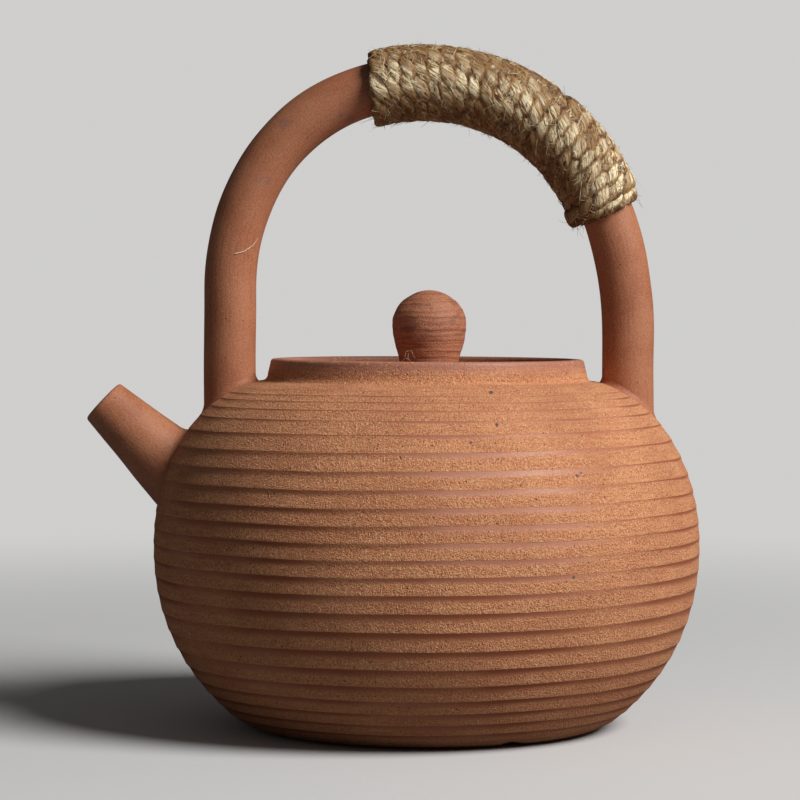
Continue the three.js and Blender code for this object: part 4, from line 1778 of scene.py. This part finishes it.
@dataclass
class HandleWrap:
    """One length of three-ply jute cord, wound round the handle and tucked in, with its loose hairs."""

    arch: HandleArch
    before_crown: float = 0.0130
    after_crown: float = 0.0640
    turns: int = 21
    wind_radius: float = 0.0092
    plies: int = 3
    half_height: float = 0.0014
    half_width: float = 0.0032
    inside_spread: float = 0.16
    valley_bend: float = 0.55
    valley_depth: float = 0.3
    start_turns: float = 0.4
    end_turns: float = 0.6
    start_slack: float = 0.15
    end_slack: float = 0.1
    start_slant: float = 0.0021
    end_slant: float = 0.0012
    start_upright: Rise = Rise(0.5, 4.5)
    end_leans_from: float = 3.5
    end_leans_to: float = 0.5
    pitch_sway: float = 0.00025
    radius_sway: float = 0.00014
    sway_lag: int = 31
    end_dip: float = 0.0009
    end_dip_turns: float = 0.25
    notch_turn: float = 13.0
    notch_turns: float = 0.12
    notch: float = 0.0009
    lump_turn: float = 20.5
    lump_turns: float = 0.14
    lump: float = 0.0009
    tuck: float = 0.3
    tuck_depth: float = 0.0026
    tuck_shift: float = 0.0016
    lay: float = 0.016
    steps_per_turn: int = 72
    sides: int = 24
    thickness: Wander = Wander(0.16, 0.0045, 10)
    wear: Wander = Wander(1.5, 0.009, 12)
    cover: Wander = Wander(0.6, 0.005, 16)
    # rises that set painted shade on the cord's flanks between turns and on its side against the rod
    flank: Rise = Rise(0.05, 0.62)
    top_side: Rise = Rise(-0.35, 0.2)
    arch_outside: Rise = Rise(0.1, 0.8)
    arch_inside: Rise = Rise(-0.1, 0.6)
    clean_from: Rise = Rise(0.038, 0.052)
    less_worn_from: Rise = Rise(-0.01, 0.01)
    hairs: HairHabit = HairHabit()
    seed: int = 11
    stray_thickness: float = 0.00011
    stray: tuple[tuple[float, float, float], ...] = (
        (-0.0526, -0.0074, 0.1294),
        (-0.0502, -0.0067, 0.1300),
        (-0.0478, -0.0053, 0.1317),
        (-0.0464, -0.0040, 0.1339),
    )

    def centre(self) -> CordLine:
        """Wind the cord round the rod, close by its neighbours, and tuck in its ends.

        Returns:
            Its centre line.
        """
        centres, distances = self.arch.line()
        start = self.arch.crown_distance() - self.before_crown
        length = self.before_crown + self.after_crown
        first, last = -self.start_turns, self.turns + self.end_turns
        count = int((last - first) * self.steps_per_turn) + 1
        turn = np.linspace(first, last, count)
        share = np.clip(turn, self.start_slack, self.turns - self.end_slack) / self.turns
        sway = self._sway(turn)
        first_end = 1 - smooth_rise(turn, first, first + self.tuck)
        last_end = smooth_rise(turn, last - self.tuck, last)
        angle = FULL_TURN * turn
        rod = start + length * share + self.pitch_sway * sway
        rod += self.tuck_shift * (first_end - last_end)
        rod += self._slant(turn) * np.cos(angle)
        place = read_line(rod, distances, centres)
        tangent = read_line(rod, distances, ways_along(centres))
        outside = np.stack([-tangent[:, 2], np.zeros(count), tangent[:, 0]], axis=1)
        away = outside * np.cos(angle)[:, None] + np.array((0, -1, 0)) * np.sin(angle)[:, None]
        reach = self.wind_radius + self.radius_sway * np.roll(sway, self.sway_lag)
        reach -= self.tuck_depth * (first_end + last_end)
        reach -= self.end_dip * hump(turn, self.turns, self.end_dip_turns)
        reach -= self.notch * hump(turn, self.notch_turn, self.notch_turns)
        reach += self.lump * hump(turn, self.lump_turn, self.lump_turns)
        place = place + away * reach[:, None]
        along = np.gradient(place, axis=0)
        step = np.linalg.norm(along, axis=1)
        along /= step[:, None]
        run = np.concatenate([[0], np.cumsum(step[1:])])
        return CordLine(place, away, along, np.cross(along, away), run, angle)

    def _sway(self, turn: np.ndarray) -> np.ndarray:
        """Draw how unevenly the turns were laid.

        Args:
            turn: The turn that each step lies in.

        Returns:
            A number from -1 to 1 for each step.
        """
        chance = random.Random(self.seed)
        knots = self.turns + 3
        jitter = np.array([chance.uniform(-1, 1) for _ in range(knots)])
        return np.interp(turn, np.arange(knots), jitter)

    def _slant(self, turn: np.ndarray) -> np.ndarray:
        """Lean the first turns one way and the last ones the other.

        Args:
            turn: The turn that each step lies in.

        Returns:
            How far along the rod each turn's outside is ahead of its middle.
        """
        start = self.start_slant * (1 - self.start_upright.of(turn))
        leans = smooth_rise(turn, self.turns - self.end_leans_from, self.turns - self.end_leans_to)
        return start - self.end_slant * leans

    def build(self) -> bpy.types.Object:
        """Sweep the cord's lobed section along the winding, turning with the lay.

        Returns:
            The cord's mesh object.
        """
        centre = self.centre()
        count = len(centre.run)
        side = FULL_TURN * np.arange(self.sides) / self.sides
        twist = -FULL_TURN * centre.run / self.lay
        lobes = np.abs(np.cos(self.plies / 2 * side)) ** self.valley_bend
        depth = 1 - self.valley_depth + self.valley_depth * lobes
        turned_side = side[None, :] + twist[:, None]
        bumps = 1 + self.thickness.of(centre.place)[:, None]
        half_width = self.half_width * (1 + self.inside_spread * np.cos(centre.angle)[:, None])
        high = squarer(np.cos(turned_side)) * depth * self.half_height * bumps
        wide = squarer(np.sin(turned_side)) * depth * half_width * bumps
        rings = centre.place[:, None] + centre.away[:, None] * high[..., None]
        rings = rings + centre.across[:, None] * wide[..., None]
        piece = swept("jute_winding", rings)
        run = np.repeat(centre.run, self.sides)
        untwisted = np.tile(side, count)
        flat = np.tile(depth, count) * self.half_height
        paint(piece, "straight", np.stack([run, np.cos(untwisted) * flat, np.sin(untwisted) * flat], axis=1))
        paint(piece, "crease_shade", self._crease_shade(centre, turned_side, lobes))
        paint(piece, "worn_and_shade", np.repeat(self._worn_and_shade(centre), self.sides))
        # the plies' crowns, which get a painted highlight
        paint(piece, "crown", np.tile(lobes**2, (count, 1)).ravel())
        return piece

    def _crease_shade(self, centre: CordLine, turned_side: np.ndarray, lobes: np.ndarray) -> np.ndarray:
        """Find where the creases get painted shade: between the turns, on the rod's side and between the
        plies.

        Args:
            centre: The cord's centre line.
            turned_side: The angle of each side of each ring, with the lay's twist.
            lobes: How far each side lies on a ply's crown, from 0 to 1.

        Returns:
            How deep in the creases each vertex lies, from 0 to 1, which sets its painted shade.
        """
        cover = np.clip(0.85 + self.cover.of(centre.place), 0.4, 1)[:, None]
        between = self.flank.of(np.abs(np.sin(turned_side))) * cover
        under = 1 - self.top_side.of(np.cos(turned_side))
        plies = np.tile(0.68 * (1 - lobes) ** 1.2, (len(centre.run), 1))
        return np.maximum(np.maximum(between, under), plies).ravel()

    def _worn_and_shade(self, centre: CordLine) -> np.ndarray:
        """Find where hands have rubbed the cord on the arch's outside, and wear and painted shade on its
        inside.

        Args:
            centre: The cord's centre line.

        Returns:
            How much wear each step of the cord has, from 0 to 1, with painted shade on the arch's inside.
        """
        outside, x = np.cos(centre.angle), centre.place[:, 0]
        worn_and_shade = self.arch_outside.of(outside) * (1.0 + self.wear.of(centre.place))
        worn_and_shade *= (1 - self.clean_from.of(x)) * (1.3 - 0.3 * self.less_worn_from.of(x))
        # the arch's inside: wear and painted shade
        worn_and_shade += self.arch_inside.of(-outside)
        return np.clip(worn_and_shade, 0, 1)

    def fuzz(self) -> bpy.types.Object:
        """Thin hairs that stand off the cord.

        Returns:
            One mesh object with all the hairs.
        """
        centre = self.centre()
        chance = random.Random(self.seed + 1)
        return strands("jute_hairs", [self._hair(centre, chance) for _ in range(self.hairs.number)])

    def stray_hair(self) -> bpy.types.Object:
        """The one long pale hair that clings to the handle."""
        return strands("stray_hair", [([Vector(place) for place in self.stray], self.stray_thickness)])

    def _hair(self, centre: CordLine, chance: random.Random) -> tuple[list[Vector], float]:
        """One short hair that leaves the cord and bends back to it or away.

        Args:
            centre: The cord's centre line.
            chance: The source of its place, length, thickness and bend.

        Returns:
            Its places from root to tip, and its thickness at the root.
        """
        habit = self.hairs
        step = chance.randrange(len(centre.run))
        across = Vector(centre.across[step])
        lean = chance.gauss(0, habit.lean_spread)
        away = Vector(centre.away[step]) * math.cos(lean) + across * math.sin(lean)
        root = Vector(centre.place[step]) + away * self.half_height * habit.root_share
        way = Vector(centre.along[step]) * chance.choice((-1, 1))
        sideways = across * chance.gauss(0, habit.cross_spread)
        way += sideways + away * chance.gauss(habit.lift, habit.lift_spread)
        way.normalize()
        length = chance.uniform(*habit.lengths) * chance.choice(habit.length_factors)
        curl = chance.uniform(*habit.curls) * length / self.wind_radius
        bend = away * (curl + chance.gauss(0, habit.curl_spread))
        bend += Vector([chance.gauss(0, habit.bend_spread) for _ in range(3)])
        shares = [stretch / habit.steps for stretch in range(habit.steps + 1)]
        places = [root + way * length * share + bend * length * 0.5 * share**2 for share in shares]
        return places, chance.uniform(*habit.thicknesses)


@dataclass
class Lid:
    """The lift-off lid: a disc with a steam hole, a locating ring below it and a ball knob."""

    plate_radius: float = 0.0389
    plate_bottom: float = 0.0938
    plate_top: float = 0.0978
    plate_crown: float = 0.0006
    plate_round: float = 0.0007
    plate_flat_share: float = 0.7
    plate_dome_share: float = 0.5
    steam_hole: float = 0.0014
    steam_offset: float = 0.020
    drill_reach: float = 0.01
    flange_outer: float = 0.0337
    flange_inner: float = 0.0307
    flange_bottom: float = 0.0855
    flange_top: float = 0.0935
    flange_round: float = 0.0006
    knob_foot: float = 0.0987
    knob_radius: float = 0.0102
    knob_foot_radius: float = 0.0080
    knob_waist: float = 0.0117
    knob_crown: float = 0.0093
    knob_foot_share: float = 0.25
    knob_side_share: float = 0.5
    knob_lean: float = 0.0005
    knob_fade: float = 0.001
    knob_sides: int = 96
    ring_squeeze: float = 0.12
    knob_rings: Wander = Wander(0.00014, 0.0013, 8)
    knob_lumps: Wander = Wander(0.0002, 0.011, 9)
    plate_sides: int = 120
    flange_sides: int = 96
    fibre_thickness: float = 0.00008
    fallen: tuple[tuple[tuple[float, float, float], ...], ...] = (
        (
            (-0.0052, -0.0076, 0.1009),
            (-0.0053, -0.0079, 0.1018),
            (-0.0051, -0.0078, 0.1028),
        ),
        (
            (-0.0062, -0.0070, 0.1014),
            (-0.0058, -0.0078, 0.1030),
            (-0.0044, -0.0084, 0.1032),
            (-0.0034, -0.0084, 0.1012),
        ),
        (
            (-0.0070, -0.0066, 0.1003),
            (-0.0058, -0.0077, 0.1012),
            (-0.0046, -0.0084, 0.1005),
        ),
    )

    def plate(self) -> bpy.types.Object:
        """Spin the disc, slightly crowned, and drill its steam hole.

        Returns:
            The disc's mesh object.
        """
        bottom, top, edge, soft = self.plate_bottom, self.plate_top, self.plate_radius, self.plate_round
        crown = top + self.plate_crown
        flat_pull, dome_pull = at(edge * self.plate_flat_share, top), at(edge * self.plate_dome_share, crown)
        outline = [
            straight(at(0, bottom), at(edge - soft, bottom), 8),
            rounded(at(edge - soft, bottom), at(edge, bottom), at(edge, bottom + soft)),
            straight(at(edge, bottom + soft), at(edge, top - soft), 3),
            rounded(at(edge, top - soft), at(edge, top), at(edge - soft, top)),
            Span(at(edge - soft, top), flat_pull, dome_pull, at(0, crown), 40),
        ]
        piece = turned("turned_lid", outline, self.plate_sides)
        reach = Vector((0, 0, self.drill_reach))
        hole = Vector((self.steam_offset, 0, (bottom + top) / 2))
        drill(piece, hole - reach, hole + reach, self.steam_hole)
        return piece

    def flange(self) -> bpy.types.Object:
        """Spin the locating ring under the disc.

        Returns:
            The ring's mesh object.
        """
        inner, outer, soft = self.flange_inner, self.flange_outer, self.flange_round
        low, top = self.flange_bottom, self.flange_top
        outline = [
            straight(at(inner, top), at(inner, low + soft), 10),
            rounded(at(inner, low + soft), at(inner, low), at(inner + soft, low)),
            straight(at(inner + soft, low), at(outer - soft, low), 3),
            rounded(at(outer - soft, low), at(outer, low), at(outer, low + soft)),
            straight(at(outer, low + soft), at(outer, top), 10),
            straight(at(outer, top), at(inner, top), 3),
        ]
        return turned("locating_ring", outline, self.flange_sides)

    def fibres(self) -> bpy.types.Object:
        """The few bits of jute that have fallen beside the knob's foot, as one mesh object."""
        lines = [([Vector(place) for place in places], self.fibre_thickness) for places in self.fallen]
        return strands("lid_fibres", lines)

    def knob(self) -> bpy.types.Object:
        """Spin the ball knob and press in the rings that the finger left.

        Returns:
            The knob's mesh object.
        """
        foot, widest = self.knob_foot, self.knob_foot + self.knob_waist
        radius, foot_radius, crown = self.knob_radius, self.knob_foot_radius, self.knob_crown
        foot_pull = at(foot_radius, foot + self.knob_waist * self.knob_foot_share)
        side_pull = at(radius, widest - self.knob_waist * self.knob_side_share)
        ball_pull = at(radius, widest + crown * QUARTER_PULL)
        crown_pull = at(radius * QUARTER_PULL, widest + crown)
        outline = [
            straight(at(0, foot), at(foot_radius, foot), 6),
            Span(at(foot_radius, foot), foot_pull, side_pull, at(radius, widest), 44),
            Span(at(radius, widest), ball_pull, crown_pull, at(0, widest + crown), 48),
        ]
        piece = turned("ball_knob", outline, self.knob_sides)
        places = places_of(piece)
        squeezed = places.copy()
        squeezed[:, :2] *= self.ring_squeeze
        relief = self.knob_rings.of(squeezed) + self.knob_lumps.of(places)
        relief *= smooth_rise(places[:, 2], foot, foot + self.knob_fade)
        places += normals_of(piece) * relief[:, None]
        places[:, 0] += self.knob_lean
        move_to(piece, places)
        return piece


@dataclass
class Studio:
    """The pale floor, the soft light from the right and the camera at the photograph's angle."""

    camera_distance: float = 0.7905
    camera_height: float = 0.1157
    pitch: float = math.radians(88.1)
    roll: float = math.radians(0.245)
    lens: float = 129.15
    shift: float = -0.0341
    key_way: Vector = Vector((0.636, -0.420, 0.647))
    key_aim: float = 0.07
    key_distance: float = 2.2
    key_size: float = 1.1
    key_power: float = 57.0
    ambient: float = 0.065
    floor_size: float = 12.0
    backdrop: Colour = (0.625, 0.62, 0.61)

    def build(self) -> None:
        """Add the floor, the light, the world and the camera."""
        self._floor()
        self._key_light()
        self._world()
        self._camera()

    def _floor(self) -> None:
        """A wide floor under the pot."""
        start_fresh()
        bpy.ops.mesh.primitive_plane_add(size=self.floor_size, location=(0, 0, 0))
        floor = bpy.context.object
        floor.name = "floor"
        floor.data.materials.append(PaleFloor(backdrop=self.backdrop).make())
        floor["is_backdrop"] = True

    def _key_light(self) -> None:
        """One large soft lamp, to the right, above and a little in front."""
        start_fresh()
        middle = Vector((0, 0, self.key_aim))
        way = self.key_way.normalized()
        bpy.ops.object.light_add(type="AREA", location=middle + way * self.key_distance)
        lamp = bpy.context.object
        lamp.rotation_euler = way.to_track_quat("Z", "Y").to_euler()
        lamp.data.shape = "DISK"
        lamp.data.size = self.key_size
        lamp.data.energy = self.key_power

    def _world(self) -> None:
        """Soft light from all round, and the backdrop's colour for the camera."""
        world = bpy.data.worlds.new("soft_room")
        bpy.context.scene.world = world
        world.use_nodes = True
        tree = world.node_tree
        tree.nodes.clear()
        room = tree.nodes.new("ShaderNodeBackground")
        room.inputs["Color"].default_value = (1, 1, 1, 1)
        room.inputs["Strength"].default_value = self.ambient
        seen = tree.nodes.new("ShaderNodeBackground")
        seen.inputs["Color"].default_value = (*self.backdrop, 1)
        path = tree.nodes.new("ShaderNodeLightPath")
        mix = tree.nodes.new("ShaderNodeMixShader")
        out = tree.nodes.new("ShaderNodeOutputWorld")
        tree.links.new(path.outputs["Is Camera Ray"], mix.inputs[0])
        tree.links.new(room.outputs[0], mix.inputs[1])
        tree.links.new(seen.outputs[0], mix.inputs[2])
        tree.links.new(mix.outputs[0], out.inputs["Surface"])

    def _camera(self) -> None:
        """The camera, level with the pot's shoulder and a little off its axis."""
        start_fresh()
        bpy.ops.object.camera_add(location=(0, -self.camera_distance, self.camera_height))
        camera = bpy.context.object
        turn = Matrix.Rotation(self.pitch, 3, "X") @ Matrix.Rotation(self.roll, 3, "Z")
        camera.rotation_euler = turn.to_euler()
        camera.data.lens = self.lens
        camera.data.shift_x = self.shift
        bpy.context.scene.camera = camera


def corners() -> list[list[float]]:
    """The shown object's lowest and highest corner."""
    return [list(corner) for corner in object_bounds()]


def main() -> None:
    """Build every piece in order, then the studio, and set the view transform."""
    logging.basicConfig(level=logging.INFO, format="%(message)s")
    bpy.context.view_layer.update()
    shape = PotShape()
    thrown, smooth, lid_clay = ThrownClay().make(), HandClay().make(), TurnedClay().make()
    jute, hair = JuteYarn().make(), LooseFibre().make()
    pale_hair = LooseFibre("pale_fibre", (0.72, 0.52, 0.33), (0.98, 0.86, 0.64)).make()

    hand_over(PotBody(shape).build(), thrown, Body.POT, Slot.THROWN, "pot_body")
    spout = Spout(shape)
    hand_over(spout.build(), smooth, Body.POT, Slot.SMOOTH, "spout")
    hand_over(spout.luting(), smooth, Body.POT, Slot.THROWN, "spout_luting")
    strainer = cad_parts["spout_strainer"]
    strainer.data.materials.clear()
    strainer.data.materials.append(lid_clay)

    arch = HandleArch(shape)
    hand_over(arch.build(), smooth, Body.POT, Slot.SMOOTH, "handle_arch")
    front, rear = arch.lutings()
    hand_over(front, smooth, Body.POT, Slot.THROWN, "front_leg_luting")
    hand_over(rear, smooth, Body.POT, Slot.THROWN, "rear_leg_luting")

    wrap = HandleWrap(arch)
    hand_over(wrap.build(), jute, Body.POT, Slot.JUTE, "handle_wrap")
    hand_over(wrap.fuzz(), hair, Body.POT, Slot.JUTE)
    hand_over(wrap.stray_hair(), pale_hair, Body.POT, Slot.JUTE)

    lid = Lid()
    hand_over(lid.plate(), lid_clay, Body.LID, Slot.LID, "lid_plate")
    hand_over(lid.flange(), lid_clay, Body.LID, Slot.LID, "lid_flange")
    hand_over(lid.knob(), lid_clay, Body.LID, Slot.LID, "lid_knob")
    hand_over(lid.fibres(), pale_hair, Body.LID, Slot.JUTE)

    Studio().build()
    bpy.context.scene.view_settings.view_transform = "Standard"


if __name__ == "__main__":
    main()
